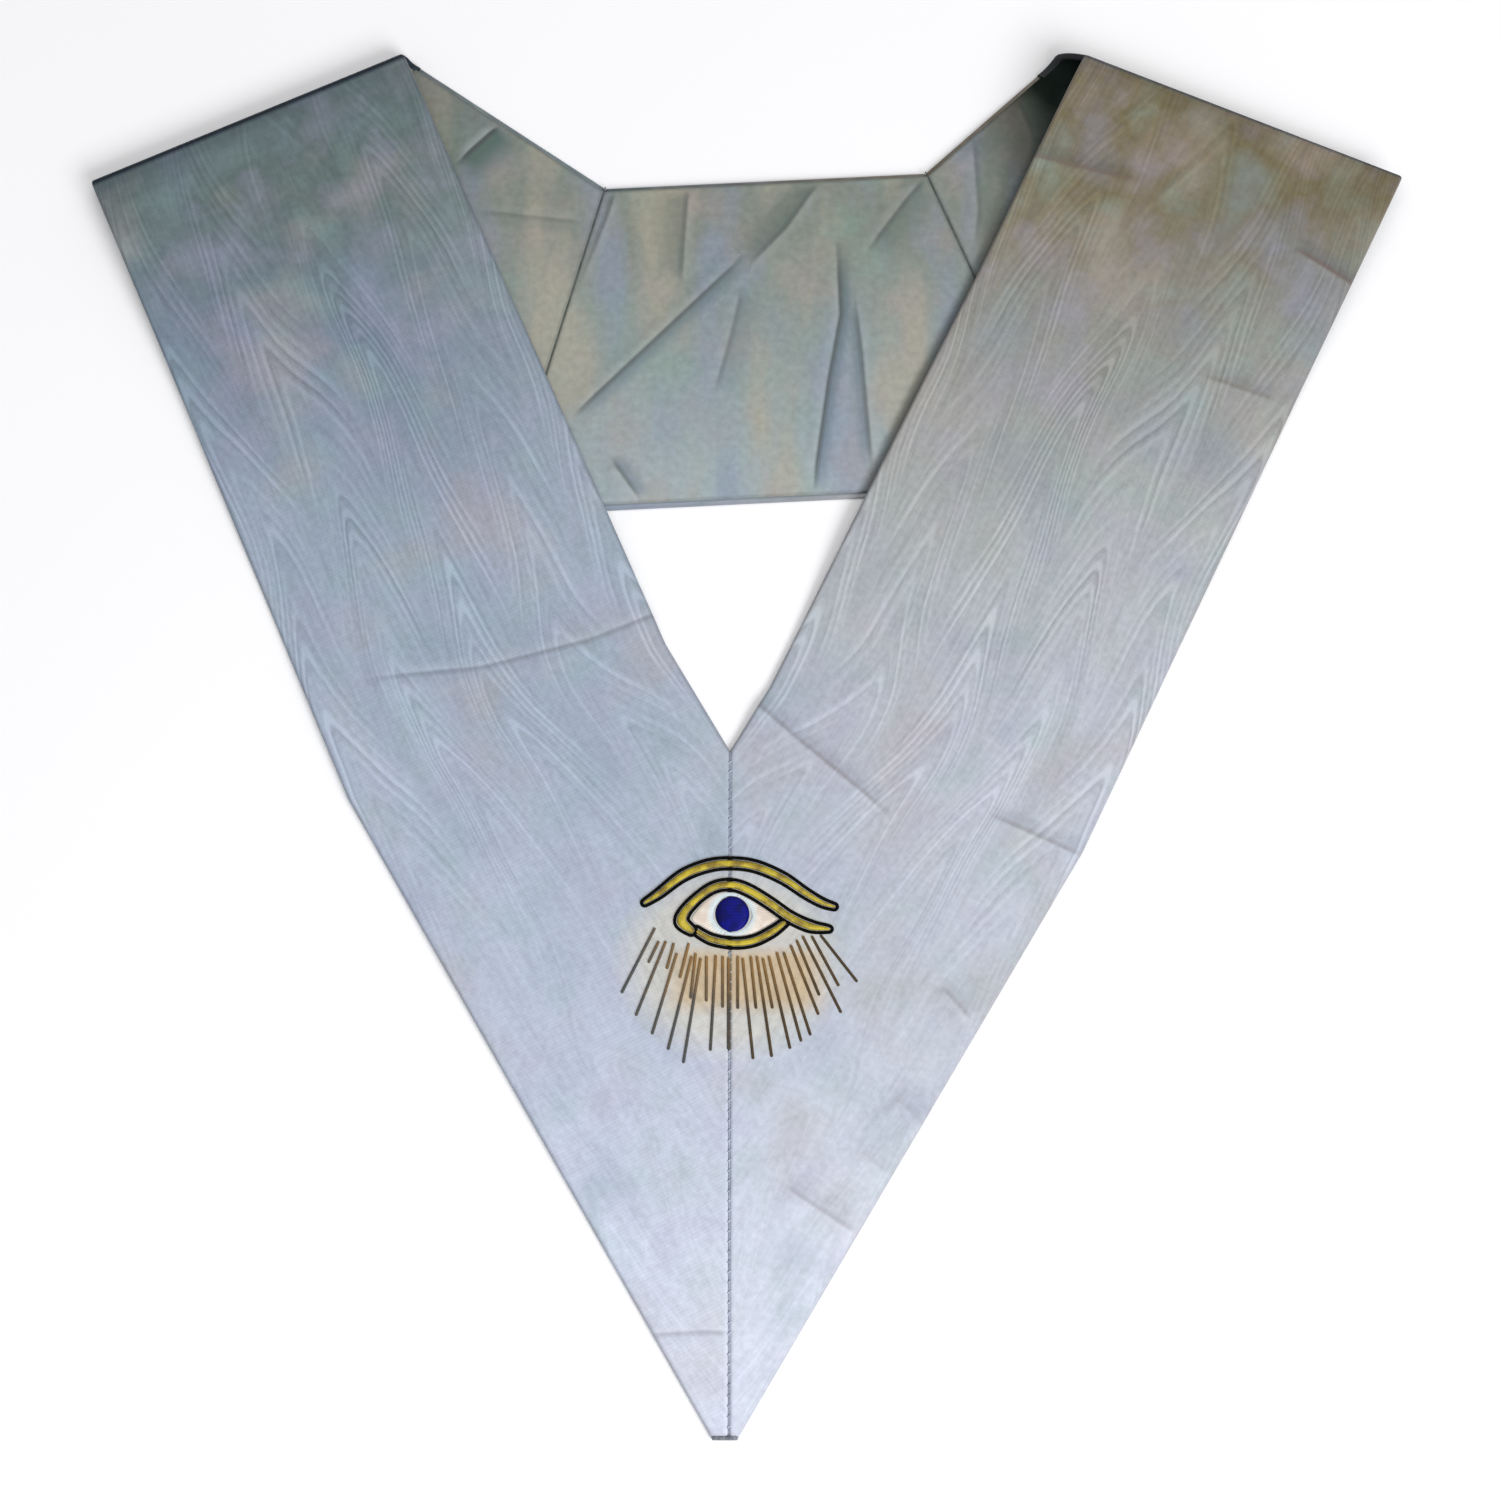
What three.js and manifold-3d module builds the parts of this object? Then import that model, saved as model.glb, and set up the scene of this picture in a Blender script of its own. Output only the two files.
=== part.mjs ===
// A ribbon collar with an embroidered eye, lying flat with both shoulders folded over.
// Two wide fronts meet in a mitred point. Each front turns over at the shoulder, and the neck
// part lies under it with its lining up. Lengths are millimetres and angles are degrees. The
// plan starts where the inner edges of the fronts meet, with +Y towards the back of the neck,
// and the finished collar is set with the middle of its underside at the origin.
import * as THREE from "three";
import { mergeVertices } from "three/addons/utils/BufferGeometryUtils.js";
import Module from "manifold-3d";

// The ribbon and the layers of cloth
const RIBBON_WIDTH = 110;
const FRONT_THICKNESS = 2;
const FACING_THICKNESS = 1;
const LINING_THICKNESS = 1;
const LINING_INSET = 1.5;
const LAYER_GAP = 0.3;
const SEAM_GAP = 0.3;

// The two fronts, from the point up to the fold. The angles are from the centre line.
const CENTRE_SEAM_LENGTH = 208.5;
const LEFT_LOWER_ANGLE = 30.5;
const LEFT_UPPER_ANGLE = 23.7;
const LEFT_BEND_DISTANCE = 40;
const LEFT_UPPER_LENGTH = 218.7;
const RIGHT_LOWER_ANGLE = 31.2;
const RIGHT_UPPER_ANGLE = 26.2;
const RIGHT_BEND_DISTANCE = 24;
const RIGHT_UPPER_LENGTH = 235.7;

// The folds. A loop is the clear height inside the fold, the skew angle turns the fold line so
// that the outer edge is longer, and the slip moves the layer under the fold towards the neck,
// between two angles round the fold. The tail is the flat strip before the shoulder seam, and
// a front takes the settling lengths to come down from the fold and from the neck part.
const LEFT_LOOP_NECK = 4;
const LEFT_LOOP_OUTER = 4;
const LEFT_SKEW_ANGLE = -0.6;
const LEFT_FOLD_SLIP = 0.4;
const RIGHT_LOOP_NECK = 11;
const RIGHT_LOOP_OUTER = 6;
const RIGHT_SKEW_ANGLE = 4.1;
const RIGHT_FOLD_SLIP = 8.8;
const SLIP_FROM_ANGLE = 60;
const SLIP_TO_ANGLE = 120;
const FOLD_TAIL = 1.5;
const FOLD_SETTLE = 85;
const LAYER_SETTLE = 50;

// The neck part: the angles are how steeply a neck edge falls from the fold to the back band.
const LEFT_SHOULDER_LENGTH = 81.2;
const LEFT_SHOULDER_ANGLE = 34.7;
const RIGHT_SHOULDER_LENGTH = 60.8;
const RIGHT_SHOULDER_ANGLE = 42.8;

// The creases
const FRONT_CREASE_HEIGHT = 1.3;
const LINING_CREASE_HEIGHT = 1.6;
const LINING_CREASE_WIDTH = 5;
const PRESSED_MARGIN = 8;
const BORDER_MARGIN = 5;

// The embroidery
const EMBLEM_WIDTH = 61.5;
const EMBLEM_DROP = 51.5;
const EMBLEM_OFFSET = 0.8;
const IRIS_RADIUS = 5.2;
const OUTLINE_WIDTH = 1.1;
const STITCH_HEIGHT = 0.9;
const RAY_WIDTH = 0.8;

// Rows of cloth from the centre seam to the fold. inner and outer are shares of the zone's two
// edges, steps is how many rows lead up to this one, and lift is its share of a crease's height.
const LEFT_ROWS = [
  { zone: "tip", inner: 0, outer: 0, steps: 1, lift: 0 },
  { zone: "lower", inner: 0, outer: 0, steps: 1, lift: 0 },
  { zone: "lower", inner: 1, outer: 1, steps: 10, lift: 0 },
  { zone: "upper", inner: 0.03, outer: 0.13, steps: 1, lift: 0 },
  { zone: "upper", inner: 0.046, outer: 0.146, steps: 1, lift: 1 },
  { zone: "upper", inner: 0.062, outer: 0.162, steps: 1, lift: 0 },
  { zone: "upper", inner: 1, outer: 1, steps: 15, lift: 0 },
];
const RIGHT_ROWS = [
  { zone: "tip", inner: 0, outer: 0, steps: 1, lift: 0 },
  { zone: "lower", inner: 0, outer: 0, steps: 1, lift: 0 },
  { zone: "lower", inner: 0.36, outer: 0.965, steps: 10, lift: 0 },
  { zone: "lower", inner: 0.55, outer: 0.98, steps: 1, lift: 1 },
  { zone: "lower", inner: 0.75, outer: 0.995, steps: 1, lift: 0 },
  { zone: "upper", inner: 0, outer: 0, steps: 1, lift: 0 },
  { zone: "upper", inner: 1, outer: 1, steps: 16, lift: 0 },
];

// How the crease across each front rises and fades from the inner edge to the outer one.
const LEFT_CREASE = [
  { across: 0, share: 1 },
  { across: 0.35, share: 0.75 },
  { across: 0.8, share: 0.4 },
  { across: 1, share: 0 },
];
const RIGHT_CREASE = [
  { across: 0, share: 0 },
  { across: 0.17, share: 0.7 },
  { across: 0.42, share: 0.6 },
  { across: 0.6, share: 0.2 },
  { across: 0.84, share: 0.7 },
  { across: 1, share: 0.5 },
];

// Creases of the lining. u runs along the neck edge and v down from it, both as shares of the
// panel, and height and width are shares of the two crease sizes.
const BACK_CREASES = [
  { u0: 0.55, v0: 0.05, u1: 0.11, v1: 0.68, height: 0.7, width: 0.8 },
  { u0: 0.66, v0: 0.03, u1: 0.43, v1: 0.23, height: 0.6, width: 0.9 },
  { u0: 0.43, v0: 0.23, u1: 0.4, v1: 0.55, height: 0.5, width: 1 },
  { u0: 0.69, v0: 0.24, u1: 0.55, v1: 0.95, height: 1, width: 1.5 },
  { u0: 0.635, v0: 0.6, u1: 0.62, v1: 0.95, height: 0.7, width: 0.9 },
  { u0: 0.98, v0: 0.03, u1: 0.76, v1: 0.23, height: 0.6, width: 0.9 },
  { u0: 0.28, v0: 0.03, u1: 0.29, v1: 0.25, height: 0.4, width: 0.9 },
  { u0: 0.19, v0: 0.85, u1: 0.24, v1: 0.96, height: 0.6, width: 0.7 },
];
const LEFT_SHOULDER_CREASES = [
  { u0: 0.47, v0: 0.02, u1: 0.4, v1: 0.2, height: 1, width: 1 },
  { u0: 0.66, v0: 0.02, u1: 0.86, v1: 0.2, height: 0.6, width: 0.9 },
];
const RIGHT_SHOULDER_CREASES = [
  { u0: 0.35, v0: 0.04, u1: 0.15, v1: 0.2, height: 0.5, width: 0.9 },
];

// Bands of the eye, as shares of the emblem's width from the middle of the iris. width is the
// gold between the two black lines.
const BROW = [
  { x: -0.438, y: 0.057, width: 0.012 },
  { x: -0.37, y: 0.102, width: 0.026 },
  { x: -0.25, y: 0.194, width: 0.036 },
  { x: -0.13, y: 0.243, width: 0.038 },
  { x: -0.02, y: 0.257, width: 0.036 },
  { x: 0.11, y: 0.243, width: 0.036 },
  { x: 0.25, y: 0.184, width: 0.034 },
  { x: 0.37, y: 0.103, width: 0.028 },
  { x: 0.45, y: 0.057, width: 0.022 },
  { x: 0.51, y: 0.037, width: 0.012 },
];
const UPPER_LID = [
  { x: -0.205, y: -0.083, width: 0.03 },
  { x: -0.252, y: -0.04, width: 0.05 },
  { x: -0.235, y: 0.015, width: 0.036 },
  { x: -0.165, y: 0.088, width: 0.03 },
  { x: -0.085, y: 0.138, width: 0.032 },
  { x: 0, y: 0.147, width: 0.034 },
  { x: 0.085, y: 0.118, width: 0.036 },
  { x: 0.19, y: 0.053, width: 0.036 },
  { x: 0.29, y: -0.017, width: 0.036 },
  { x: 0.39, y: -0.062, width: 0.036 },
  { x: 0.483, y: -0.076, width: 0.012 },
];
const LOWER_LID = [
  { x: -0.18, y: -0.085, width: 0.024 },
  { x: -0.1, y: -0.129, width: 0.03 },
  { x: 0.01, y: -0.147, width: 0.03 },
  { x: 0.11, y: -0.134, width: 0.03 },
  { x: 0.2, y: -0.089, width: 0.03 },
  { x: 0.265, y: -0.04, width: 0.02 },
];

// The rays: x and y are where each one starts, lean turns it from straight down, and length is
// how far it runs. All but lean are shares of the emblem's width.
const RAYS = [
  { x: -0.389, y: -0.076, lean: -26.6, length: 0.353 },
  { x: -0.369, y: -0.143, lean: -25.3, length: 0.107 },
  { x: -0.333, y: -0.143, lean: -21.5, length: 0.388 },
  { x: -0.293, y: -0.153, lean: -14.6, length: 0.121 },
  { x: -0.278, y: -0.204, lean: -16.6, length: 0.409 },
  { x: -0.218, y: -0.153, lean: -14, length: 0.168 },
  { x: -0.203, y: -0.219, lean: -13.9, length: 0.467 },
  { x: -0.183, y: -0.204, lean: -6.1, length: 0.215 },
  { x: -0.158, y: -0.229, lean: -9.1, length: 0.516 },
  { x: -0.128, y: -0.219, lean: 0, length: 0.214 },
  { x: -0.082, y: -0.214, lean: -3.1, length: 0.464 },
  { x: -0.047, y: -0.219, lean: 0, length: 0.244 },
  { x: -0.017, y: -0.229, lean: 0, length: 0.443 },
  { x: 0.028, y: -0.219, lean: 0, length: 0.25 },
  { x: 0.053, y: -0.229, lean: 5.9, length: 0.492 },
  { x: 0.093, y: -0.219, lean: 5.8, length: 0.251 },
  { x: 0.124, y: -0.219, lean: 8.3, length: 0.494 },
  { x: 0.154, y: -0.229, lean: 10.8, length: 0.243 },
  { x: 0.184, y: -0.219, lean: 12.8, length: 0.46 },
  { x: 0.224, y: -0.199, lean: 15.1, length: 0.448 },
  { x: 0.259, y: -0.199, lean: 17.6, length: 0.422 },
  { x: 0.294, y: -0.163, lean: 21.5, length: 0.361 },
  { x: 0.324, y: -0.138, lean: 22, length: 0.286 },
  { x: 0.354, y: -0.117, lean: 26.3, length: 0.415 },
  { x: 0.4, y: -0.117, lean: 28, length: 0.271 },
  { x: 0.445, y: -0.112, lean: 37.7, length: 0.283 },
];

// How finely the cloth and the embroidery are divided
const FRONT_COLUMNS = 12;
const FOLD_ROWS = 9;
const WEDGE_ROWS = 2;
const BACK_GRID = { along: 30, down: 15 };
const SHOULDER_GRID = { along: 12, down: 8 };
const BAND_STEPS = 22;
const CAP_STEPS = 4;
const IRIS_STEPS = 28;

// Heights that follow from the layers: the neck part is a facing and a lining, the fronts rest
// on it, and the embroidery stands on the fronts.
const LINING_BASE = FACING_THICKNESS + LAYER_GAP;
const FRONT_REST_HEIGHT = LINING_BASE + LINING_THICKNESS + LAYER_GAP;
const STITCH_BASE = FRONT_THICKNESS + LAYER_GAP;

const wasm = await Module();
wasm.setup();

const radians = THREE.MathUtils.degToRad;
const smooth = (value) => THREE.MathUtils.smoothstep(value, 0, 1);
const blend = THREE.MathUtils.lerp;
const point = (x, y) => new THREE.Vector2(x, y);
const mix = (a, b, share) => a.clone().lerp(b, share);
const step = (from, direction, distance) => from.clone().addScaledVector(direction, distance);
const away = (from, to) => to.clone().sub(from).normalize();
const square = (v) => point(v.y, -v.x);
const heading = (degrees) => point(Math.cos(radians(degrees)), Math.sin(radians(degrees)));

// Where two lines cross, each given by a point and a direction.
function crossing(p, d, q, e) {
  return step(p, d, q.clone().sub(p).cross(e) / d.cross(e));
}

// A point on an edge that leaves the fold line at a corner, some distance from that line.
function alongEdge(corner, direction, foldLine, distance) {
  return step(corner, direction, distance / Math.abs(direction.cross(foldLine)));
}

// One front in plan. side is -1 on the left and 1 on the right.
function frontPlan(side, size) {
  const origin = point(0, 0);
  const lowerUp = heading(90 - side * size.lowerLean);
  const upperUp = heading(90 - side * size.upperLean);
  const lowerOut = square(lowerUp).multiplyScalar(side);
  const upperOut = square(upperUp).multiplyScalar(side);
  const seamTop = crossing(origin, lowerUp, point(side * SEAM_GAP / 2, 0), point(0, 1));
  const seamEnd = point(side * SEAM_GAP / 2, -CENTRE_SEAM_LENGTH);
  const innerBend = step(origin, lowerUp, size.bendDistance);
  const outerBend = crossing(
    step(origin, lowerOut, RIBBON_WIDTH), lowerUp,
    step(innerBend, upperOut, RIBBON_WIDTH), upperUp,
  );
  const tip = crossing(outerBend, lowerUp, seamEnd, point(1, 0));
  const foldLine = upperOut.clone().rotateAround(origin, radians(side * size.foldSkew));
  const foldNeck = step(innerBend, upperUp, size.upperLength);
  const foldOuter = crossing(foldNeck, foldLine, outerBend, upperUp);
  const underDown = step(upperUp.clone().negate(), foldLine, 2 * upperUp.dot(foldLine));
  const underNeck = step(foldNeck, foldLine, -size.foldSlip);
  const underOuter = alongEdge(underNeck, foldLine, underDown, RIBBON_WIDTH);
  const neckDown = heading(side < 0 ? -size.shoulderSlope : 180 + size.shoulderSlope);
  const backCorner = step(underNeck, neckDown, size.shoulderLength);
  return {
    ...size, side, upperUp, upperOut, foldLine, foldNeck, foldOuter, underDown, underNeck,
    underOuter, neckDown, backCorner, seamTop, seamEnd, innerBend, outerBend, tip,
    tipInner: step(seamTop, lowerUp, tip.distanceTo(seamEnd)),
  };
}

const left = frontPlan(-1, {
  lowerLean: LEFT_LOWER_ANGLE,
  upperLean: LEFT_UPPER_ANGLE,
  bendDistance: LEFT_BEND_DISTANCE,
  upperLength: LEFT_UPPER_LENGTH,
  foldSkew: LEFT_SKEW_ANGLE,
  foldSlip: LEFT_FOLD_SLIP,
  loopNeck: LEFT_LOOP_NECK,
  loopOuter: LEFT_LOOP_OUTER,
  shoulderLength: LEFT_SHOULDER_LENGTH,
  shoulderSlope: LEFT_SHOULDER_ANGLE,
  rows: LEFT_ROWS,
  crease: LEFT_CREASE,
});
const right = frontPlan(1, {
  lowerLean: RIGHT_LOWER_ANGLE,
  upperLean: RIGHT_UPPER_ANGLE,
  bendDistance: RIGHT_BEND_DISTANCE,
  upperLength: RIGHT_UPPER_LENGTH,
  foldSkew: RIGHT_SKEW_ANGLE,
  foldSlip: RIGHT_FOLD_SLIP,
  loopNeck: RIGHT_LOOP_NECK,
  loopOuter: RIGHT_LOOP_OUTER,
  shoulderLength: RIGHT_SHOULDER_LENGTH,
  shoulderSlope: RIGHT_SHOULDER_ANGLE,
  rows: RIGHT_ROWS,
  crease: RIGHT_CREASE,
});

// The lower edges of the neck part run a ribbon's width from its neck edges.
const backAlong = away(left.backCorner, right.backCorner);
const backLower = step(left.backCorner, square(backAlong), RIBBON_WIDTH);

function addShoulder(front) {
  const down = square(front.neckDown).multiplyScalar(-front.side);
  const lower = step(front.underNeck, down, RIBBON_WIDTH);
  front.lowerBack = crossing(lower, front.neckDown, backLower, backAlong);
  front.lowerFold = crossing(lower, front.neckDown, front.underOuter, front.underDown);
  front.seamStart = alongEdge(
    front.underNeck, front.neckDown, front.foldLine, front.loopNeck / 2 + FRONT_THICKNESS + FOLD_TAIL,
  );
}
addShoulder(left);
addShoulder(right);

// Everything under the fronts, as one outline that they drape over.
const neckOutline = [
  left.underOuter, left.lowerFold, left.lowerBack, right.lowerBack, right.lowerFold,
  right.underOuter, right.underNeck, right.backCorner, left.backCorner, left.underNeck,
];

function segmentDistance(p, a, b) {
  const run = b.clone().sub(a);
  const share = THREE.MathUtils.clamp(p.clone().sub(a).dot(run) / run.lengthSq(), 0, 1);
  return p.distanceTo(step(a, run, share));
}

function isInside(p, outline) {
  let inside = false;
  outline.forEach((a, i) => {
    const b = outline[(i + 1) % outline.length];
    const spans = a.y > p.y !== b.y > p.y;
    if (spans && p.x < crossing(a, away(a, b), p, point(1, 0)).x) inside = !inside;
  });
  return inside;
}

function outsideDistance(p, outline) {
  if (isInside(p, outline)) return 0;
  const gaps = outline.map((a, i) => segmentDistance(p, a, outline[(i + 1) % outline.length]));
  return Math.min(...gaps);
}

// A closed wall of cloth from rows of facing point pairs.
function clothWall(rows) {
  const columns = rows[0].length;
  const edge = columns - 1;
  const last = rows.length - 1;
  const positions = [];
  const index = [];
  const at = (row, column, face) => (row * columns + column) * 2 + face;
  const quad = (a, b, c, d) => index.push(a, b, c, a, c, d);
  rows.flat().forEach((pair) => positions.push(...pair.upper, ...pair.lower));
  for (let i = 0; i < last; i += 1) {
    for (let j = 0; j < edge; j += 1) {
      quad(at(i, j, 0), at(i, j + 1, 0), at(i + 1, j + 1, 0), at(i + 1, j, 0));
      quad(at(i, j, 1), at(i + 1, j, 1), at(i + 1, j + 1, 1), at(i, j + 1, 1));
    }
    quad(at(i, 0, 0), at(i + 1, 0, 0), at(i + 1, 0, 1), at(i, 0, 1));
    quad(at(i + 1, edge, 0), at(i, edge, 0), at(i, edge, 1), at(i + 1, edge, 1));
  }
  for (let j = 0; j < edge; j += 1) {
    quad(at(0, j + 1, 0), at(0, j, 0), at(0, j, 1), at(0, j + 1, 1));
    quad(at(last, j, 0), at(last, j + 1, 0), at(last, j + 1, 1), at(last, j, 1));
  }
  const geometry = new THREE.BufferGeometry();
  geometry.setAttribute("position", new THREE.Float32BufferAttribute(positions, 3));
  geometry.setIndex(signedVolume(positions, index) < 0 ? index.reverse() : index);
  geometry.computeVertexNormals();
  return geometry;
}

function signedVolume(positions, index) {
  const corner = (k) => new THREE.Vector3().fromArray(positions, 3 * index[k]);
  let volume = 0;
  for (let k = 0; k < index.length; k += 3) {
    volume += corner(k).dot(corner(k + 1).cross(corner(k + 2))) / 6;
  }
  return volume;
}

// A point of the fold: angle 0 is the top layer, 180 the layer under it. The two edges follow
// the front above the fold and the neck part below it.
function foldPoint(front, across, angle, isUpper) {
  const loop = blend(front.loopNeck, front.loopOuter, across);
  const outerRadius = loop / 2 + FRONT_THICKNESS;
  const radius = isUpper ? outerRadius : loop / 2;
  const distance = outerRadius - radius * Math.sin(radians(angle));
  const edge = (corner, direction) => alongEdge(corner, direction, front.foldLine, distance);
  const down = front.upperUp.clone().negate();
  const top = mix(edge(front.foldNeck, down), edge(front.foldOuter, down), across);
  const underNeck = edge(front.underNeck, front.neckDown);
  const under = mix(underNeck, edge(front.underOuter, front.underDown), across);
  const plan = mix(top, under, THREE.MathUtils.smoothstep(angle, SLIP_FROM_ANGLE, SLIP_TO_ANGLE));
  return [plan.x, plan.y, outerRadius + radius * Math.cos(radians(angle))];
}

// Height of a front's underside: on the surface, over the neck part, and up to the fold.
function restHeight(front, plan, across) {
  const loop = blend(front.loopNeck, front.loopOuter, across);
  const run = plan.clone().sub(front.foldNeck);
  const fromFold = Math.abs(run.cross(front.foldLine)) - loop / 2 - FRONT_THICKNESS;
  const layers = FRONT_REST_HEIGHT * (1 - smooth(outsideDistance(plan, neckOutline) / LAYER_SETTLE));
  return blend(loop + FRONT_THICKNESS, layers, smooth(fromFold / FOLD_SETTLE));
}

function shareAt(crease, across) {
  const next = Math.max(1, crease.findIndex((entry) => entry.across >= across));
  const [a, b] = [crease[next - 1], crease[next]];
  return blend(a.share, b.share, (across - a.across) / (b.across - a.across));
}

// The zones of a front: each runs from one line of points to the next.
function zonePoint(front, zone, across, share) {
  const lines = {
    seam: mix(front.seamTop, front.seamEnd, across),
    tip: mix(front.tipInner, front.tip, across),
    bend: mix(front.innerBend, front.outerBend, across),
    fold: point(...foldPoint(front, across, 0, true)),
  };
  const [from, to] = { tip: ["seam", "tip"], lower: ["tip", "bend"], upper: ["bend", "fold"] }[zone];
  return mix(lines[from], lines[to], share);
}

function frontRow(front, row) {
  return Array.from({ length: FRONT_COLUMNS + 1 }, (_, column) => {
    const across = column / FRONT_COLUMNS;
    const plan = zonePoint(front, row.zone, across, blend(row.inner, row.outer, across));
    const lift = FRONT_CREASE_HEIGHT * row.lift * shareAt(front.crease, across);
    const height = restHeight(front, plan, across) + lift;
    return { upper: [plan.x, plan.y, height + FRONT_THICKNESS], lower: [plan.x, plan.y, height] };
  });
}

// The rows between two lines of the table, the second included.
function rowsUpTo(previous, row) {
  const start = previous.zone === row.zone ? previous : { inner: 0, outer: 0, lift: previous.lift };
  return Array.from({ length: row.steps }, (_, k) => {
    const share = (k + 1) / row.steps;
    return {
      zone: row.zone,
      inner: blend(start.inner, row.inner, share),
      outer: blend(start.outer, row.outer, share),
      lift: blend(start.lift, row.lift, share),
    };
  });
}

function foldRow(front, angle) {
  return Array.from({ length: FRONT_COLUMNS + 1 }, (_, column) => ({
    upper: foldPoint(front, column / FRONT_COLUMNS, angle, true),
    lower: foldPoint(front, column / FRONT_COLUMNS, angle, false),
  }));
}

// The flat wedge between the fold and the seam to the shoulder.
function wedgeRow(front, share) {
  const seamDown = away(front.seamStart, front.lowerFold);
  const back = square(seamDown).multiplyScalar(-front.side * SEAM_GAP / 2);
  return Array.from({ length: FRONT_COLUMNS + 1 }, (_, column) => {
    const across = column / FRONT_COLUMNS;
    const from = point(...foldPoint(front, across, 180, true));
    const to = mix(front.seamStart, front.lowerFold, across).add(back);
    const plan = mix(from, to, share);
    return { upper: [plan.x, plan.y, 0], lower: [plan.x, plan.y, FRONT_THICKNESS] };
  });
}

function frontRibbon(front) {
  const rows = front.rows
    .flatMap((row, i) => (i === 0 ? [row] : rowsUpTo(front.rows[i - 1], row)))
    .map((row) => frontRow(front, row));
  for (let k = 1; k <= FOLD_ROWS; k += 1) rows.push(foldRow(front, 180 * k / FOLD_ROWS));
  for (let k = 1; k <= WEDGE_ROWS; k += 1) rows.push(wedgeRow(front, k / WEDGE_ROWS));
  return clothWall(rows);
}

// A panel's corners, each edge moved in by its own inset. Corners run along the neck edge and
// back along the lower one.
function insetCorners(corners, insets) {
  const total = corners.reduce((sum, corner) => sum.add(corner), point(0, 0));
  const centre = total.divideScalar(corners.length);
  const edges = corners.map((corner, i) => {
    const run = away(corner, corners[(i + 1) % corners.length]);
    const inward = square(run);
    if (inward.dot(centre.clone().sub(corner)) < 0) inward.negate();
    return { start: step(corner, inward, insets[i]), run };
  });
  return edges.map((edge, i) => {
    const before = edges[(i + edges.length - 1) % edges.length];
    return crossing(before.start, before.run, edge.start, edge.run);
  });
}

const leftShoulder = [left.seamStart, left.backCorner, left.lowerBack, left.lowerFold];
const back = [left.backCorner, right.backCorner, right.lowerBack, left.lowerBack];
const rightShoulder = [right.backCorner, right.seamStart, right.lowerFold, right.lowerBack];

function panelPoint(corners, u, v) {
  return mix(mix(corners[0], corners[1], u), mix(corners[3], corners[2], u), v);
}

function facing(corners) {
  const outline = new THREE.Shape(insetCorners(corners, [0, SEAM_GAP / 2, 0, SEAM_GAP / 2]));
  return new THREE.ExtrudeGeometry(outline, { depth: FACING_THICKNESS, bevelEnabled: false });
}

// Height of the lining's creases. They flatten out at the panel's border and where a front
// presses on the lining.
function creaseHeight(corners, creases, plan) {
  const toEdges = corners.map((a, i) => segmentDistance(plan, a, corners[(i + 1) % corners.length]));
  const freedom = [left, right].map((front) => front.innerBend.clone().sub(plan).dot(front.upperOut));
  const border = smooth(Math.min(...toEdges) / BORDER_MARGIN);
  const pressed = smooth(Math.min(...freedom) / PRESSED_MARGIN);
  const heights = creases.map((crease) => {
    const from = panelPoint(corners, crease.u0, crease.v0);
    const to = panelPoint(corners, crease.u1, crease.v1);
    const offset = segmentDistance(plan, from, to) / (crease.width * LINING_CREASE_WIDTH);
    return crease.height * Math.exp(-offset * offset);
  });
  return LINING_CREASE_HEIGHT * border * pressed * Math.max(0, ...heights);
}

function lining(corners, creases, grid) {
  const seam = SEAM_GAP / 2;
  const inner = insetCorners(corners, [LINING_INSET, seam, LINING_INSET, seam]);
  const rows = Array.from({ length: grid.down + 1 }, (_, i) =>
    Array.from({ length: grid.along + 1 }, (_, j) => {
      const plan = panelPoint(inner, j / grid.along, i / grid.down);
      const height = LINING_BASE + creaseHeight(corners, creases, plan);
      return { upper: [plan.x, plan.y, height + LINING_THICKNESS], lower: [plan.x, plan.y, height] };
    }),
  );
  return clothWall(rows);
}

// The outline of an embroidered band: its middle line, widened by half the gold and a margin,
// with round ends.
function bandOutline(rows, margin) {
  const curve = new THREE.SplineCurve(rows.map((row) => point(row.x, row.y).multiplyScalar(EMBLEM_WIDTH)));
  const sides = [[], []];
  const reach = (share) => {
    const place = share * (rows.length - 1);
    const k = Math.min(Math.floor(place), rows.length - 2);
    return blend(rows[k].width, rows[k + 1].width, place - k) * EMBLEM_WIDTH / 2 + margin;
  };
  for (let k = 0; k <= BAND_STEPS; k += 1) {
    const share = k / BAND_STEPS;
    const side = square(curve.getTangent(share));
    sides[0].push(step(curve.getPoint(share), side, reach(share)));
    sides[1].unshift(step(curve.getPoint(share), side, -reach(share)));
  }
  const cap = (share, turn) => Array.from({ length: CAP_STEPS - 1 }, (_, k) => {
    const side = square(curve.getTangent(share)).multiplyScalar(turn);
    side.rotateAround(point(0, 0), Math.PI * (k + 1) / CAP_STEPS);
    return step(curve.getPoint(share), side, reach(share));
  });
  return [...sides[0], ...cap(1, 1), ...sides[1], ...cap(0, -1)];
}

function solidFrom(geometry) {
  geometry.deleteAttribute("normal");
  geometry.deleteAttribute("uv");
  const merged = mergeVertices(geometry);
  const vertProperties = merged.attributes.position.array;
  const triVerts = new Uint32Array(merged.index.array);
  return new wasm.Manifold(new wasm.Mesh({ numProp: 3, vertProperties, triVerts }));
}

function geometryFrom(solid) {
  const mesh = solid.getMesh();
  const geometry = new THREE.BufferGeometry();
  geometry.setAttribute("position", new THREE.Float32BufferAttribute(mesh.vertProperties, 3));
  geometry.setIndex(Array.from(mesh.triVerts));
  geometry.computeVertexNormals();
  return geometry;
}

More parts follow.
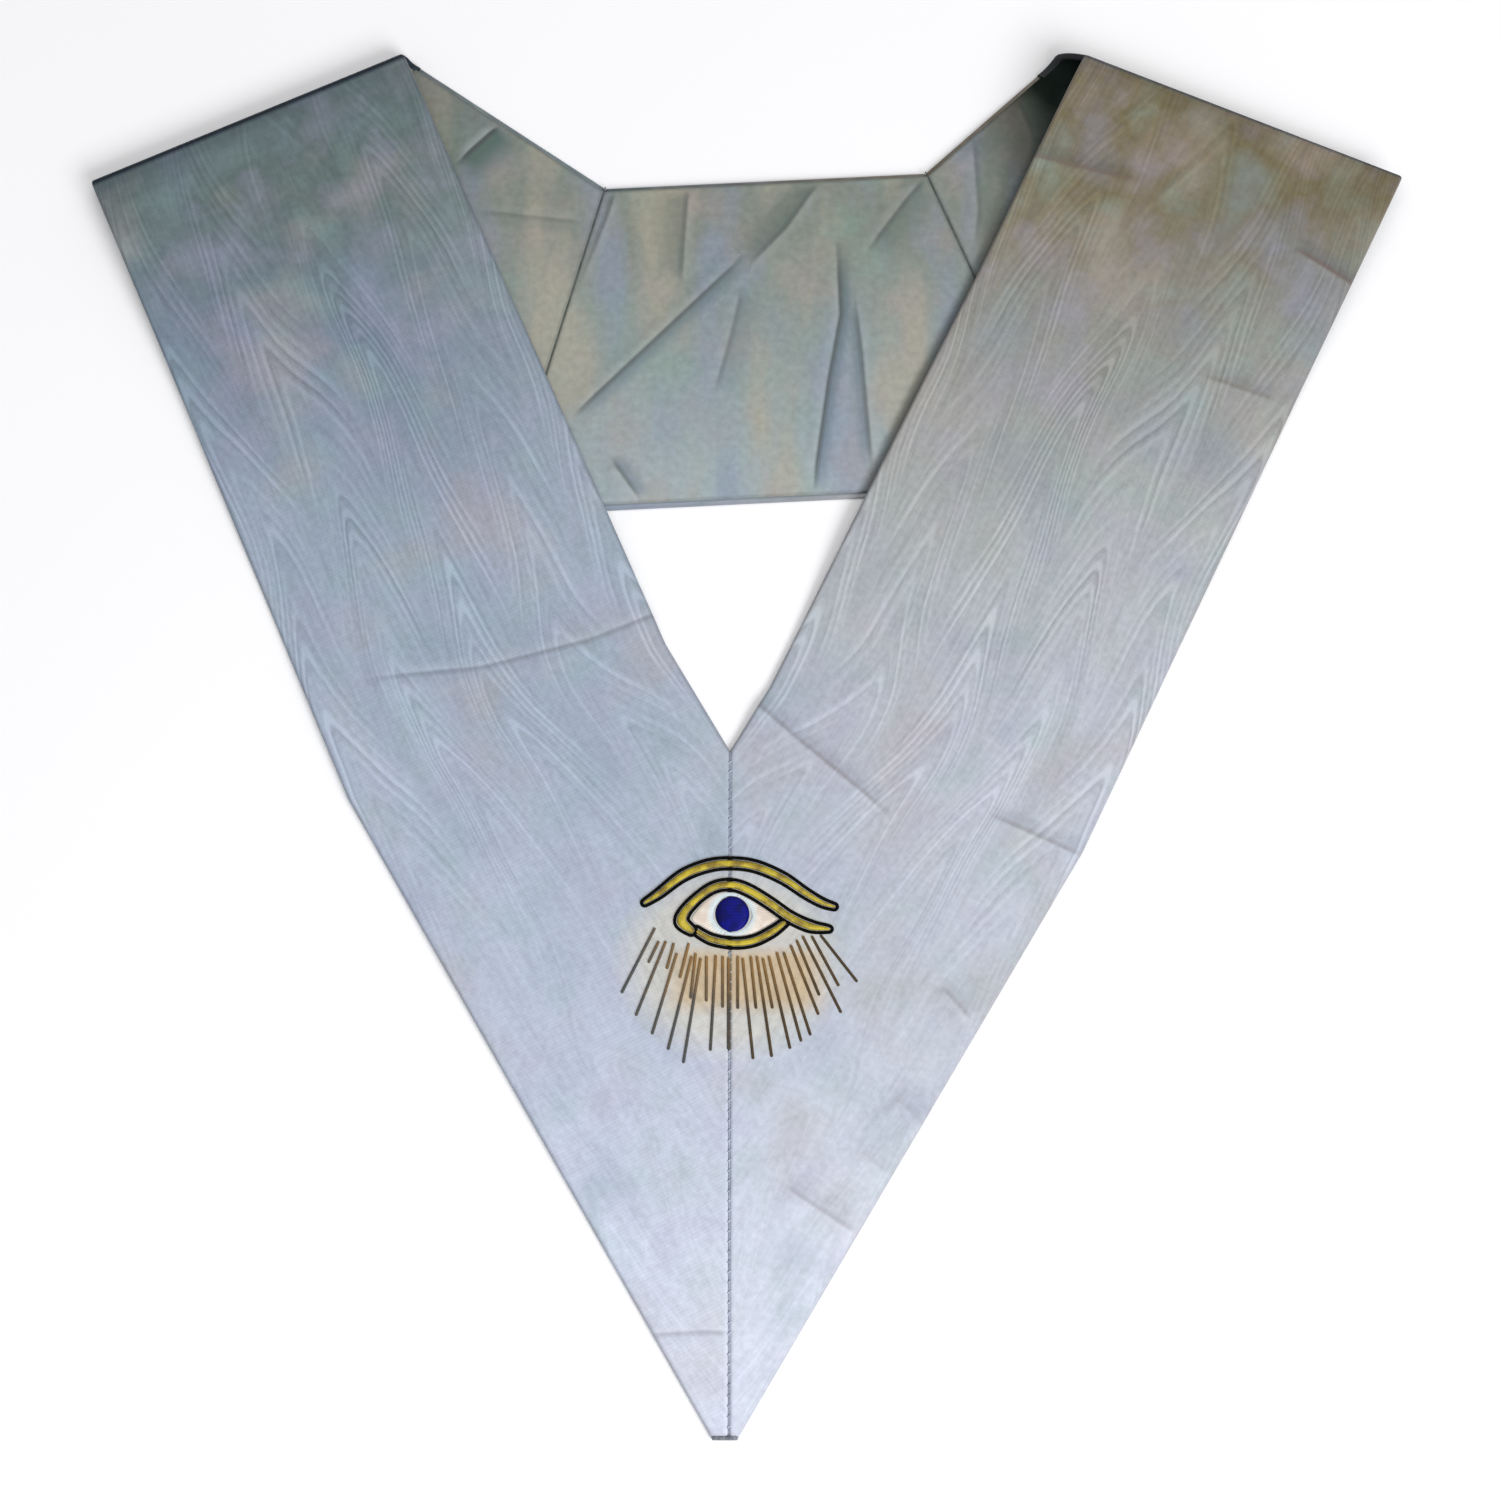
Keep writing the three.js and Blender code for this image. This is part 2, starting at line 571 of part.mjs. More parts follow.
// Stitching on an outline. A cutter is taller than the stitching at both faces.
function stitched(outline, isCutter = false) {
  const spare = isCutter ? STITCH_HEIGHT : 0;
  const geometry = new THREE.ExtrudeGeometry(new THREE.Shape(outline), {
    depth: STITCH_HEIGHT + 2 * spare,
    bevelEnabled: false,
  });
  return solidFrom(geometry.translate(0, 0, -spare));
}

const goldEdge = 0;
const lineInside = LAYER_GAP;
const lineOutside = LAYER_GAP + OUTLINE_WIDTH;

function browOutline() {
  return stitched(bandOutline(BROW, lineOutside)).subtract(stitched(bandOutline(BROW, lineInside), true));
}

// The black line runs round both lids, and the lower lid's gold stops where the upper lid's
// line crosses it.
function lidOutline() {
  const lowerHole = stitched(bandOutline(LOWER_LID, lineInside), true)
    .subtract(stitched(bandOutline(UPPER_LID, lineOutside), true));
  return stitched(bandOutline(UPPER_LID, lineOutside))
    .add(stitched(bandOutline(LOWER_LID, lineOutside)))
    .subtract(stitched(bandOutline(UPPER_LID, lineInside), true))
    .subtract(lowerHole);
}

function lowerLidFill() {
  return stitched(bandOutline(LOWER_LID, goldEdge))
    .subtract(stitched(bandOutline(UPPER_LID, lineOutside + LAYER_GAP), true));
}

function circle(radius) {
  return Array.from({ length: IRIS_STEPS }, (_, k) => heading(360 * k / IRIS_STEPS).multiplyScalar(radius));
}

// The white fills what the two lids leave open round the iris.
function eyeWhite() {
  const lids = [...UPPER_LID.slice(1, -2), ...LOWER_LID.slice(0, -1).reverse()];
  const almond = lids.map((row) => point(row.x, row.y).multiplyScalar(EMBLEM_WIDTH));
  return stitched(almond)
    .subtract(stitched(bandOutline(UPPER_LID, lineOutside + LAYER_GAP), true))
    .subtract(stitched(bandOutline(LOWER_LID, lineOutside + LAYER_GAP), true))
    .subtract(stitched(circle(IRIS_RADIUS + LAYER_GAP), true));
}

const cloth = (color, roughness) => new THREE.MeshStandardMaterial({ color, roughness, metalness: 0 });
const moireRibbon = cloth("#b9c2d0", 0.45);
const satinLining = cloth("#a5aa9f", 0.5);
const goldThread = cloth("#c3a62e", 0.5);
const blackThread = cloth("#1b1712", 0.7);
const whiteThread = cloth("#e9e6da", 0.6);
const blueThread = cloth("#0d0d52", 0.6);
const rayThread = cloth("#6b543e", 0.7);

function named(name, geometry, material) {
  const mesh = new THREE.Mesh(geometry, material);
  mesh.name = name;
  return mesh;
}

function buildRays() {
  return RAYS.map((ray, i) => {
    const length = ray.length * EMBLEM_WIDTH;
    const geometry = new THREE.BoxGeometry(RAY_WIDTH, length, STITCH_HEIGHT).translate(0, -length / 2, 0);
    const mesh = named(`ray_${String(i + 1).padStart(2, "0")}`, geometry, rayThread);
    mesh.position.set(ray.x * EMBLEM_WIDTH, ray.y * EMBLEM_WIDTH, STITCH_HEIGHT / 2);
    mesh.rotation.z = radians(ray.lean);
    return mesh;
  });
}

function buildEmblem() {
  const emblem = new THREE.Group();
  const stitches = (outline) => geometryFrom(stitched(outline));
  emblem.add(
    named("brow_outline", geometryFrom(browOutline()), blackThread),
    named("brow_fill", stitches(bandOutline(BROW, goldEdge)), goldThread),
    named("lid_outline", geometryFrom(lidOutline()), blackThread),
    named("upper_lid_fill", stitches(bandOutline(UPPER_LID, goldEdge)), goldThread),
    named("lower_lid_fill", geometryFrom(lowerLidFill()), goldThread),
    named("eye_white", geometryFrom(eyeWhite()), whiteThread),
    named("iris", stitches(circle(IRIS_RADIUS)), blueThread),
    ...buildRays(),
  );
  emblem.position.set(EMBLEM_OFFSET, -EMBLEM_DROP, STITCH_BASE);
  return emblem;
}

const collar = new THREE.Group();
collar.add(
  named("left_front_ribbon", frontRibbon(left), moireRibbon),
  named("right_front_ribbon", frontRibbon(right), moireRibbon),
  named("left_shoulder_ribbon", facing(leftShoulder), moireRibbon),
  named("back_ribbon", facing(back), moireRibbon),
  named("right_shoulder_ribbon", facing(rightShoulder), moireRibbon),
  named("left_shoulder_lining", lining(leftShoulder, LEFT_SHOULDER_CREASES, SHOULDER_GRID), satinLining),
  named("back_lining", lining(back, BACK_CREASES, BACK_GRID), satinLining),
  named("right_shoulder_lining", lining(rightShoulder, RIGHT_SHOULDER_CREASES, SHOULDER_GRID), satinLining),
  buildEmblem(),
);

const box = new THREE.Box3().setFromObject(collar);
const middle = box.getCenter(new THREE.Vector3());
collar.position.set(-middle.x, -middle.y, -box.min.z);

const part = new THREE.Group();
part.add(collar);

export default part;
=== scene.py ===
# %% [markdown]
# # A ribbon collar with an embroidered eye
#
# The real collar is sewn from wide moire ribbon: two fronts that meet in a mitred point, a band
# round the back of the neck, and a satin lining on the inside. It lies on a table with both
# shoulders folded over, so the back of the neck shows its lining.
#
# Its plain solids come from model.glb. This file loads them as a fixed frame and
# dresses them with finer cloth, seams, creases, stitches and finishes. All lengths are metres.

# %% Load the frame
import math
from types import SimpleNamespace

import bpy
import numpy as np
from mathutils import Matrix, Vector


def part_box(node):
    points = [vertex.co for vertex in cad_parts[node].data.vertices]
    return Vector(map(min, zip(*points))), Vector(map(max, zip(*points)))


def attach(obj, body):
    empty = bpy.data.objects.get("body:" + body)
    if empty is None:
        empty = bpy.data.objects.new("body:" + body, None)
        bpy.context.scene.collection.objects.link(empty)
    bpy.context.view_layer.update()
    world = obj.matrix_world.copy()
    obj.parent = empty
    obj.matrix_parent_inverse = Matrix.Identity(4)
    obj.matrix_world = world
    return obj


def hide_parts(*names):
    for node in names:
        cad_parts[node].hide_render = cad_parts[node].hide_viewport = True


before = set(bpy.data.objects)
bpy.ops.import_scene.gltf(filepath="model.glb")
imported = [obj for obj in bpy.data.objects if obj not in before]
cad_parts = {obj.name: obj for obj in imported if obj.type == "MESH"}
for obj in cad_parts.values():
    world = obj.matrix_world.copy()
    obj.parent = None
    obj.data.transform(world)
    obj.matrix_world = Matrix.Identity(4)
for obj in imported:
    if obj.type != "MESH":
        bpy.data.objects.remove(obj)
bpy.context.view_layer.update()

# %% [markdown]
# ## Sizes
#
# One ribbon width runs through the whole collar, so most places follow from it. The layers are
# thin: a front is ribbon, stiffener and backing pressed together, and the neck part is a facing
# with a loose lining on it. The plan is drawn from the point where the inner edges of the fronts
# meet, and the frame says where that point lies.

# %% Sizes of the ribbon, its layers and its seams
RIBBON_WIDTH = 0.110
FRONT_THICKNESS = 0.002
FACING_THICKNESS = 0.001
LINING_THICKNESS = 0.001
LINING_INSET = 0.0015
LAYER_GAP = 0.0003
SEAM_GAP = 0.0003
CENTRE_SEAM_LENGTH = 0.2085
FOLD_TAIL = 0.0015
FOLD_SETTLE = 0.085
LAYER_SETTLE = 0.050
LINING_BASE = FACING_THICKNESS + LAYER_GAP
FRONT_REST_HEIGHT = LINING_BASE + LINING_THICKNESS + LAYER_GAP

LEFT_SIZES = dict(
    side=-1, lower_angle=30.5, upper_angle=23.7, bend_distance=0.040, upper_length=0.2187,
    loop_neck=0.004, loop_outer=0.004, skew_angle=-0.6, fold_slip=0.0004,
    shoulder_length=0.0812, shoulder_angle=34.7,
)
RIGHT_SIZES = dict(
    side=1, lower_angle=31.2, upper_angle=26.2, bend_distance=0.024, upper_length=0.2357,
    loop_neck=0.011, loop_outer=0.006, skew_angle=4.1, fold_slip=0.0088,
    shoulder_length=0.0608, shoulder_angle=42.8,
)

left_low, left_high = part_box("left_front_ribbon")
APEX = np.array((left_high.x + SEAM_GAP / 2, left_low.y + CENTRE_SEAM_LENGTH))
print("the inner edges meet at", APEX)

# %% [markdown]
# ## The plan of a front
#
# A front is a straight ribbon with one slight bend. Its edges are lines, so each corner is a
# crossing of two of them, as on a paper pattern. At the shoulder the ribbon is turned over a fold
# line, and what comes out underneath is mirrored about that line.

# %% Helpers for lines in the plan
# A point or a direction is a pair of values in the plan, or a whole grid of such pairs.
def cross(a, b):
    """The area that two directions span, positive where b lies to the left of a."""
    return a[..., 0] * b[..., 1] - a[..., 1] * b[..., 0]


def heading(degrees):
    """The direction at an angle from the X axis."""
    return np.array((math.cos(math.radians(degrees)), math.sin(math.radians(degrees))))


def square(v):
    """The direction turned a quarter to the right."""
    return np.stack((v[..., 1], -v[..., 0]), axis=-1)


def away(a, b):
    """The direction from a to b."""
    return (b - a) / np.linalg.norm(b - a)


def mix(a, b, share):
    """The point at a share of the way from a to b."""
    share = np.asarray(share)[..., None]
    return a * (1 - share) + b * share


def smooth(value):
    """An even rise from 0 to 1 that starts and ends gently."""
    value = np.clip(value, 0, 1)
    return value * value * (3 - 2 * value)


def crossing(p, d, q, e):
    """Where the line through p along d meets the line through q along e."""
    return p + d * (cross(q - p, e) / cross(d, e))


def along_edge(corner, direction, fold_line, distance):
    """The point on an edge that lies at a distance from the line along fold_line."""
    reach = np.asarray(distance)[..., None] / abs(cross(direction, fold_line))
    return corner + direction * reach


print("a line up and a line across cross at",
      crossing(np.array((0.5, 0.0)), heading(90), np.array((0.0, 0.2)), heading(0)))


# %% The corners of both fronts
def front_plan(size):
    """The edges and corners of one front, from the apex, as it lies folded."""
    front = SimpleNamespace(**size)
    side = front.side
    front.lower_up = heading(90 - side * front.lower_angle)
    front.upper_up = heading(90 - side * front.upper_angle)
    front.lower_out = square(front.lower_up) * side
    front.upper_out = square(front.upper_up) * side
    front.seam_end = np.array((side * SEAM_GAP / 2, -CENTRE_SEAM_LENGTH))
    front.seam_top = front.lower_up * (SEAM_GAP / 2 / abs(front.lower_up[0]))
    front.inner_bend = front.lower_up * front.bend_distance
    outer_start = front.lower_out * RIBBON_WIDTH
    front.outer_bend = crossing(
        outer_start, front.lower_up, front.inner_bend + front.upper_out * RIBBON_WIDTH, front.upper_up
    )
    front.tip = crossing(outer_start, front.lower_up, front.seam_end, heading(0))
    blunt = np.linalg.norm(front.tip - front.seam_end)
    front.tip_inner = front.seam_top + front.lower_up * blunt
    turn = heading(side * front.skew_angle)
    out = front.upper_out
    front.fold_line = turn[0] * out - turn[1] * square(out)
    front.fold_up = square(front.fold_line) * -side
    front.fold_neck = front.inner_bend + front.upper_up * front.upper_length
    front.fold_outer = crossing(front.fold_neck, front.fold_line, front.outer_bend, front.upper_up)
    front.under_down = -front.upper_up + front.fold_line * (2 * front.upper_up @ front.fold_line)
    front.under_neck = front.fold_neck - front.fold_line * front.fold_slip
    front.under_outer = along_edge(front.under_neck, front.fold_line, front.under_down, RIBBON_WIDTH)
    front.neck_down = heading(-front.shoulder_angle if side < 0 else 180 + front.shoulder_angle)
    front.back_corner = front.under_neck + front.neck_down * front.shoulder_length
    return front


def loop_height(front, across):
    """How far apart the two layers are at the fold, at shares of the way from neck to outer edge."""
    return front.loop_neck * (1 - across) + front.loop_outer * across


left = front_plan(LEFT_SIZES)
right = front_plan(RIGHT_SIZES)
print("fold lines are", np.linalg.norm(left.fold_outer - left.fold_neck),
      "and", np.linalg.norm(right.fold_outer - right.fold_neck), "long")

# %% [markdown]
# ## The plan of the neck part
#
# Three straight pieces of the same ribbon go round the back of the neck: a shoulder, the back
# band and the other shoulder, joined by mitre seams. Their lower edges run one ribbon width
# below the neck edges.

# %% The corners of the neck part
back_along = away(left.back_corner, right.back_corner)
back_lower = left.back_corner + square(back_along) * RIBBON_WIDTH
for front in (left, right):
    lower = front.under_neck + square(front.neck_down) * (-front.side * RIBBON_WIDTH)
    front.lower_back = crossing(lower, front.neck_down, back_lower, back_along)
    front.lower_fold = crossing(lower, front.neck_down, front.under_outer, front.under_down)
    tail = front.loop_neck / 2 + FRONT_THICKNESS + FOLD_TAIL
    front.seam_start = along_edge(front.under_neck, front.neck_down, front.fold_line, tail)

left_shoulder = [left.seam_start, left.back_corner, left.lower_back, left.lower_fold]
back_band = [left.back_corner, right.back_corner, right.lower_back, left.lower_back]
right_shoulder = [right.back_corner, right.seam_start, right.lower_fold, right.lower_back]
neck_outline = np.array([
    left.under_outer, left.lower_fold, left.lower_back, right.lower_back, right.lower_fold,
    right.under_outer, right.under_neck, right.back_corner, left.back_corner, left.under_neck,
])
print("the back band is", np.linalg.norm(right.back_corner - left.back_corner), "long at the neck")

# %% [markdown]
# ## Cloth as a closed skin
#
# Cloth could be a bare sheet with a Solidify modifier. Here each layer is a closed skin that is
# made point by point instead, because its edges are turned over a stiffener: the thickness
# rounds off towards an edge, and that roll is what catches light along the outline.

# %% Rolled edges and even spacing
EDGE_SHARE = 0.12
ROLL_STEPS = 4


def rolled(distance, radius):
    """The share of the full thickness, this far in from an edge that is turned over."""
    inward = np.clip(distance / radius, 0, 1)
    return np.maximum(np.sqrt(1 - (1 - inward) ** 2), EDGE_SHARE)


def spaced(length, spacing, roll):
    """Distances along a length, close together on the rolls at both ends."""
    curve = roll * (1 - np.cos(np.linspace(0, math.pi / 2, ROLL_STEPS + 1)))[:-1]
    flat = np.linspace(roll, length - roll, round((length - 2 * roll) / spacing) + 1)
    return np.concatenate([curve, flat, length - curve[::-1]])


print("share of the thickness at the edge, a quarter in and half in:",
      rolled(np.array((0.0, 0.25, 0.5)), 1.0).round(2))


# %% Faces, and a new object from them
def grid_quads(numbers):
    corners = [numbers[:-1, :-1], numbers[:-1, 1:], numbers[1:, 1:], numbers[1:, :-1]]
    return np.stack(corners, axis=-1).reshape(-1, 4)


def wall_quads(top_line, bottom_line):
    corners = [top_line[1:], top_line[:-1], bottom_line[:-1], bottom_line[1:]]
    return np.stack(corners, axis=-1)


def new_mesh_object(name, points, faces):
    mesh = bpy.data.meshes.new(name)
    mesh.from_pydata(points.tolist(), [], faces if isinstance(faces, list) else faces.tolist())
    piece = bpy.data.objects.new(name, mesh)
    bpy.context.scene.collection.objects.link(piece)
    return piece


def signed_volume(points, quads):
    a, b, c, d = (points[quads[:, k]] for k in range(4))
    return ((a * np.cross(b, c)).sum() + (a * np.cross(c, d)).sum()) / 6


print("3 by 3 points make", len(grid_quads(np.arange(9).reshape(3, 3))), "faces")

# %% A closed skin from a top and a bottom grid
SHARP_ANGLE = 50


def cloth_skin(name, top, bottom, maps, materials, is_lining):
    """A closed skin. Each map holds two values for each point, for the materials to read."""
    rows, columns = top.shape[:2]
    upper = np.arange(rows * columns).reshape(rows, columns)
    under = upper + rows * columns
    points = np.concatenate([top.reshape(-1, 3), bottom.reshape(-1, 3)])
    points[:, :2] += APEX
    faces = np.concatenate([
        grid_quads(upper), grid_quads(under)[:, ::-1],
        wall_quads(upper[0], under[0]), wall_quads(upper[-1], under[-1])[:, ::-1],
        wall_quads(upper[:, 0], under[:, 0])[:, ::-1], wall_quads(upper[:, -1], under[:, -1]),
    ])
    slots = np.zeros(len(faces), dtype=np.int32)
    under_faces = (rows - 1) * (columns - 1)
    slots[under_faces:2 * under_faces] = is_lining[:-1, :-1].reshape(-1)
    if signed_volume(points, faces) < 0:
        faces = faces[:, ::-1]
    piece = new_mesh_object(name, points, faces)
    mesh = piece.data
    for material in materials:
        mesh.materials.append(material)
    mesh.polygons.foreach_set("material_index", slots)
    mesh.polygons.foreach_set("use_smooth", np.ones(len(faces), dtype=bool))
    mesh.set_sharp_from_angle(angle=math.radians(SHARP_ANGLE))
    corners = np.empty(len(mesh.loops), dtype=np.int32)
    mesh.loops.foreach_get("vertex_index", corners)
    for map_name, values in maps.items():
        layer = mesh.uv_layers.new(name=map_name)
        layer.data.foreach_set("uv", np.tile(values.reshape(-1, 2), (2, 1))[corners].ravel())
    print(name, len(faces), "faces")
    return piece


# %% [markdown]
# ## How the cloth lies
#
# The fronts lie on the table at the point, and climb over the layers of the neck part and up to
# the fold. A physics cloth would sag into about the same shape, but the fronts are stiffened and
# pressed, so a height worked out from the layers below is closer to the real thing.

# %% Distance from the neck part
def offset_from(points, a, b):
    """The share of the way from a to b that lies nearest to each point, and the offset from there."""
    run = b - a
    share = np.clip(((points - a) @ run) / (run @ run), 0, 1)
    return share, points - (a + share[..., None] * run)


def segment_distance(points, a, b):
    return np.linalg.norm(offset_from(points, a, b)[1], axis=-1)


def is_inside(points, outline):
    inside = np.zeros(points.shape[:-1], dtype=bool)
    for a, b in zip(outline, np.roll(outline, -1, axis=0)):
        spans = (a[1] > points[..., 1]) != (b[1] > points[..., 1])
        rise = b[1] - a[1] if b[1] != a[1] else 1.0
        inside ^= spans & (points[..., 0] < a[0] + (points[..., 1] - a[1]) * (b[0] - a[0]) / rise)
    return inside


def outside_distance(points, outline):
    edges = zip(outline, np.roll(outline, -1, axis=0))
    gap = np.min([segment_distance(points, a, b) for a, b in edges], axis=0)
    return np.where(is_inside(points, outline), 0, gap)


def rest_height(front, plan, across):
    """How high the underside of a front lies over the table at points in the plan."""
    loop = loop_height(front, across)
    from_fold = abs(cross(plan - front.fold_neck, front.fold_line)) - loop / 2 - FRONT_THICKNESS
    layers = FRONT_REST_HEIGHT * (1 - smooth(outside_distance(plan, neck_outline) / LAYER_SETTLE))
    settled = smooth(from_fold / FOLD_SETTLE)
    return (loop + FRONT_THICKNESS) * (1 - settled) + layers * settled


print("the left front starts", round(rest_height(left, left.fold_neck, 0.0), 4), "up at its fold")

# %% [markdown]
# ## Creases
#
# A crease in pressed ribbon is a low ridge with one steep side. It shows as a thin dark line with
# a light one beside it. The mesh is too coarse for such a line, so each point also keeps its
# signed distance from the crease that marks it most, and the material paints the line from that,
# as painted shade with a painted highlight beside it.

# %% Ridges and distances along creases
CREASE_FADE = 0.22
SHORT_REACH = 0.0045
FULL_MARK_SHARE = 0.5


def crease_values(points, creases):
    """How high the creases lift each point, with its distance from the strongest one and its mark."""
    lift = np.zeros(points.shape[:-1])
    signed, show = np.zeros_like(lift), np.zeros_like(lift)
    for crease in creases:
        path = np.array(crease["path"])
        lengths = np.linalg.norm(np.diff(path, axis=0), axis=1)
        own_distance = np.full_like(lift, np.inf)
        own_side, own_travel = np.zeros_like(lift), np.zeros_like(lift)
        passed = 0.0
        for start, end, length in zip(path, path[1:], lengths):
            share, offset = offset_from(points, start, end)
            distance = np.linalg.norm(offset, axis=-1)
            closer = distance < own_distance
            own_distance = np.where(closer, distance, own_distance)
            own_side = np.where(closer, np.where(cross(end - start, offset) > 0, -1, 1), own_side)
            own_travel = np.where(closer, (passed + share * length) / lengths.sum(), own_travel)
            passed += length
        fade = smooth(np.minimum(own_travel, 1 - own_travel) / CREASE_FADE)
        width = np.where(own_side < 0, crease["gentle"], crease["steep"])
        lift = np.maximum(lift, crease["height"] * fade * np.exp(-(own_distance / width) ** 2))
        near = 1 - smooth(own_distance / crease.get("reach", SHORT_REACH) - FULL_MARK_SHARE)
        own_show = crease["mark"] * fade * near
        stronger = own_show > show
        signed = np.where(stronger, own_side * own_distance, signed)
        show = np.where(stronger, own_show, show)
    return lift, np.stack((signed, show), axis=-1)


sample = dict(path=[(0.0, 0.0), (1.0, 0.0)], height=0.001, gentle=0.01, steep=0.005, mark=1.0)
print("a ridge 1 mm high, 5 mm away on its steep side:",
      crease_values(np.array([(0.5, -0.005)]), [sample])[0].round(5))

# %% Creases of the fronts
# A path is metres across the ribbon from its inner edge, and along it from the bend. The height is
# the ridge in the mesh, gentle and steep are its widths, and mark is how clear its line is. Reach
# is how far its shadow goes, where that isn't the usual distance.
LEFT_CREASES = [
    dict(path=[(-0.020, 0.0085), (0.021, 0.0120), (0.056, 0.0195), (0.077, 0.0275), (0.097, 0.0350)],
         height=0.0010, gentle=0.0090, steep=0.0035, mark=0.7),
    dict(path=[(0.088, -0.1990), (0.096, -0.1943), (0.112, -0.1870)],
         height=0.0004, gentle=0.0060, steep=0.0030, mark=0.5),
    dict(path=[(0.016, 0.1435), (0.030, 0.1462), (0.034, 0.1465)],
         height=0.0003, gentle=0.0040, steep=0.0025, mark=0.25),
]
RIGHT_CREASES = [
    dict(path=[(0.056, -0.0195), (0.044, -0.0165), (0.014, -0.0105), (0.003, -0.0079),
               (-0.010, -0.0060)],
         height=0.0008, gentle=0.0080, steep=0.0040, mark=0.6),
    dict(path=[(0.113, -0.0012), (0.105, -0.0018), (0.086, -0.0030), (0.078, -0.0036)],
         height=0.0006, gentle=0.0060, steep=0.0035, mark=0.5),
    dict(path=[(0.036, 0.2036), (0.031, 0.2022), (0.003, 0.1950), (-0.010, 0.1915)],
         height=0.0002, gentle=0.0060, steep=0.0030, mark=1.0),
    dict(path=[(0.114, 0.2053), (0.104, 0.2060), (0.093, 0.2068), (0.087, 0.2071)],
         height=0.0002, gentle=0.0050, steep=0.0030, mark=1.2),
    dict(path=[(0.106, 0.1606), (0.101, 0.1597), (0.084, 0.1565), (0.079, 0.1555)],
         height=0.0005, gentle=0.0050, steep=0.0030, mark=0.5),
    dict(path=[(0.107, -0.0630), (0.105, -0.0622), (0.096, -0.0590), (0.093, -0.0580)],
         height=0.0006, gentle=0.0040, steep=0.0030, mark=0.4),
    dict(path=[(0.112, -0.0982), (0.108, -0.0972), (0.098, -0.0945)],
         height=0.0008, gentle=0.0080, steep=0.0040, mark=0.2, reach=0.008),
    dict(path=[(0.112, -0.1366), (0.105, -0.1359), (0.090, -0.1347), (0.082, -0.1340)],
         height=0.0009, gentle=0.0070, steep=0.0045, mark=0.4, reach=0.008),
    dict(path=[(0.110, -0.1160), (0.104, -0.1150), (0.096, -0.1140)],
         height=0.0006, gentle=0.0060, steep=0.0040, mark=0.2, reach=0.006),
]
print(len(LEFT_CREASES), "creases on the left front and", len(RIGHT_CREASES), "on the right one")

# %% [markdown]
# ## One front, from the mitred seam to the seam under the fold
#
# The rows run from the centre seam up the arm, round the fold, and back under it. Every row has
# a middle line, a direction that the moire side faces, and half a thickness on either side.

# %% The rows of a front
COLUMN_SPACING = 0.0013
TIP_ROWS = 6
LOWER_ROWS = 150
UPPER_ROWS = 165
CLOSE_ROWS = 1.5
FOLD_ROWS = 24
WEDGE_ROWS = 10
SLIP_FROM_ANGLE = 60
SLIP_TO_ANGLE = 120


def fold_middle(front, across, angle):
    """Where the middle of the cloth runs in plan and in height, at an angle round the fold."""
    loop = loop_height(front, across)
    outer = loop / 2 + FRONT_THICKNESS
    middle = loop / 2 + FRONT_THICKNESS / 2
    distance = outer - middle * math.sin(math.radians(angle))
    down = -front.upper_up
    top = mix(along_edge(front.fold_neck, down, front.fold_line, distance),
              along_edge(front.fold_outer, down, front.fold_line, distance), across)
    under = mix(along_edge(front.under_neck, front.neck_down, front.fold_line, distance),
                along_edge(front.under_outer, front.under_down, front.fold_line, distance), across)
    slip = smooth((angle - SLIP_FROM_ANGLE) / (SLIP_TO_ANGLE - SLIP_FROM_ANGLE))
    return top * (1 - slip) + under * slip, outer + middle * math.cos(math.radians(angle))


def arm_plan(front, across):
    """Rows of points from the seam to the bend, and from the bend to the fold."""
    seam = mix(front.seam_top, front.seam_end, across)
    tip = mix(front.tip_inner, front.tip, across)
    bend = mix(front.inner_bend, front.outer_bend, across)
    fold = fold_middle(front, across, 0)[0]
    tip_shares, lower_shares, upper_shares = (
        np.linspace(0, 1, rows + 1)[:-1, None] for rows in (TIP_ROWS, LOWER_ROWS, UPPER_ROWS)
    )
    lower = np.concatenate([mix(seam, tip, tip_shares ** CLOSE_ROWS), mix(tip, bend, lower_shares)])
    return lower, mix(bend, fold, upper_shares ** CLOSE_ROWS)


print("a front has", TIP_ROWS + LOWER_ROWS + UPPER_ROWS, "rows before its fold")


# %% Gentle waves of the pressed cloth
# The waves run slantwise over each other, so that they don't look like corrugation.
WAVE_HEIGHT = 0.0005
WAVE_LENGTH = 0.085
CALM_DISTANCE = 0.035


def waves(place, from_seam):
    """Low waves that die out at the centre seam and under the embroidery."""
    u, v = place[..., 0], place[..., 1]
    long_wave = np.sin(2 * math.pi * (v + 0.6 * u) / WAVE_LENGTH + 0.8)
    cross_wave = np.sin(2 * math.pi * (0.45 * v - u) / (0.6 * WAVE_LENGTH) + 2.1)
    swell = 1 + 0.6 * long_wave + 0.4 * cross_wave
    return WAVE_HEIGHT * swell * smooth(from_seam / CALM_DISTANCE - 1)


print("the waves are up to", 2 * WAVE_HEIGHT, "high")


# %% The flat part of a front
def ribbon_place(front, plan, up, out, origin):
    """Metres across the ribbon and along it, counted from the bend."""
    across = (plan - origin) @ out
    bend = mix(front.inner_bend, front.outer_bend, across / RIBBON_WIDTH)
    return np.stack((across, ((plan - bend) * up).sum(axis=-1)), axis=-1)


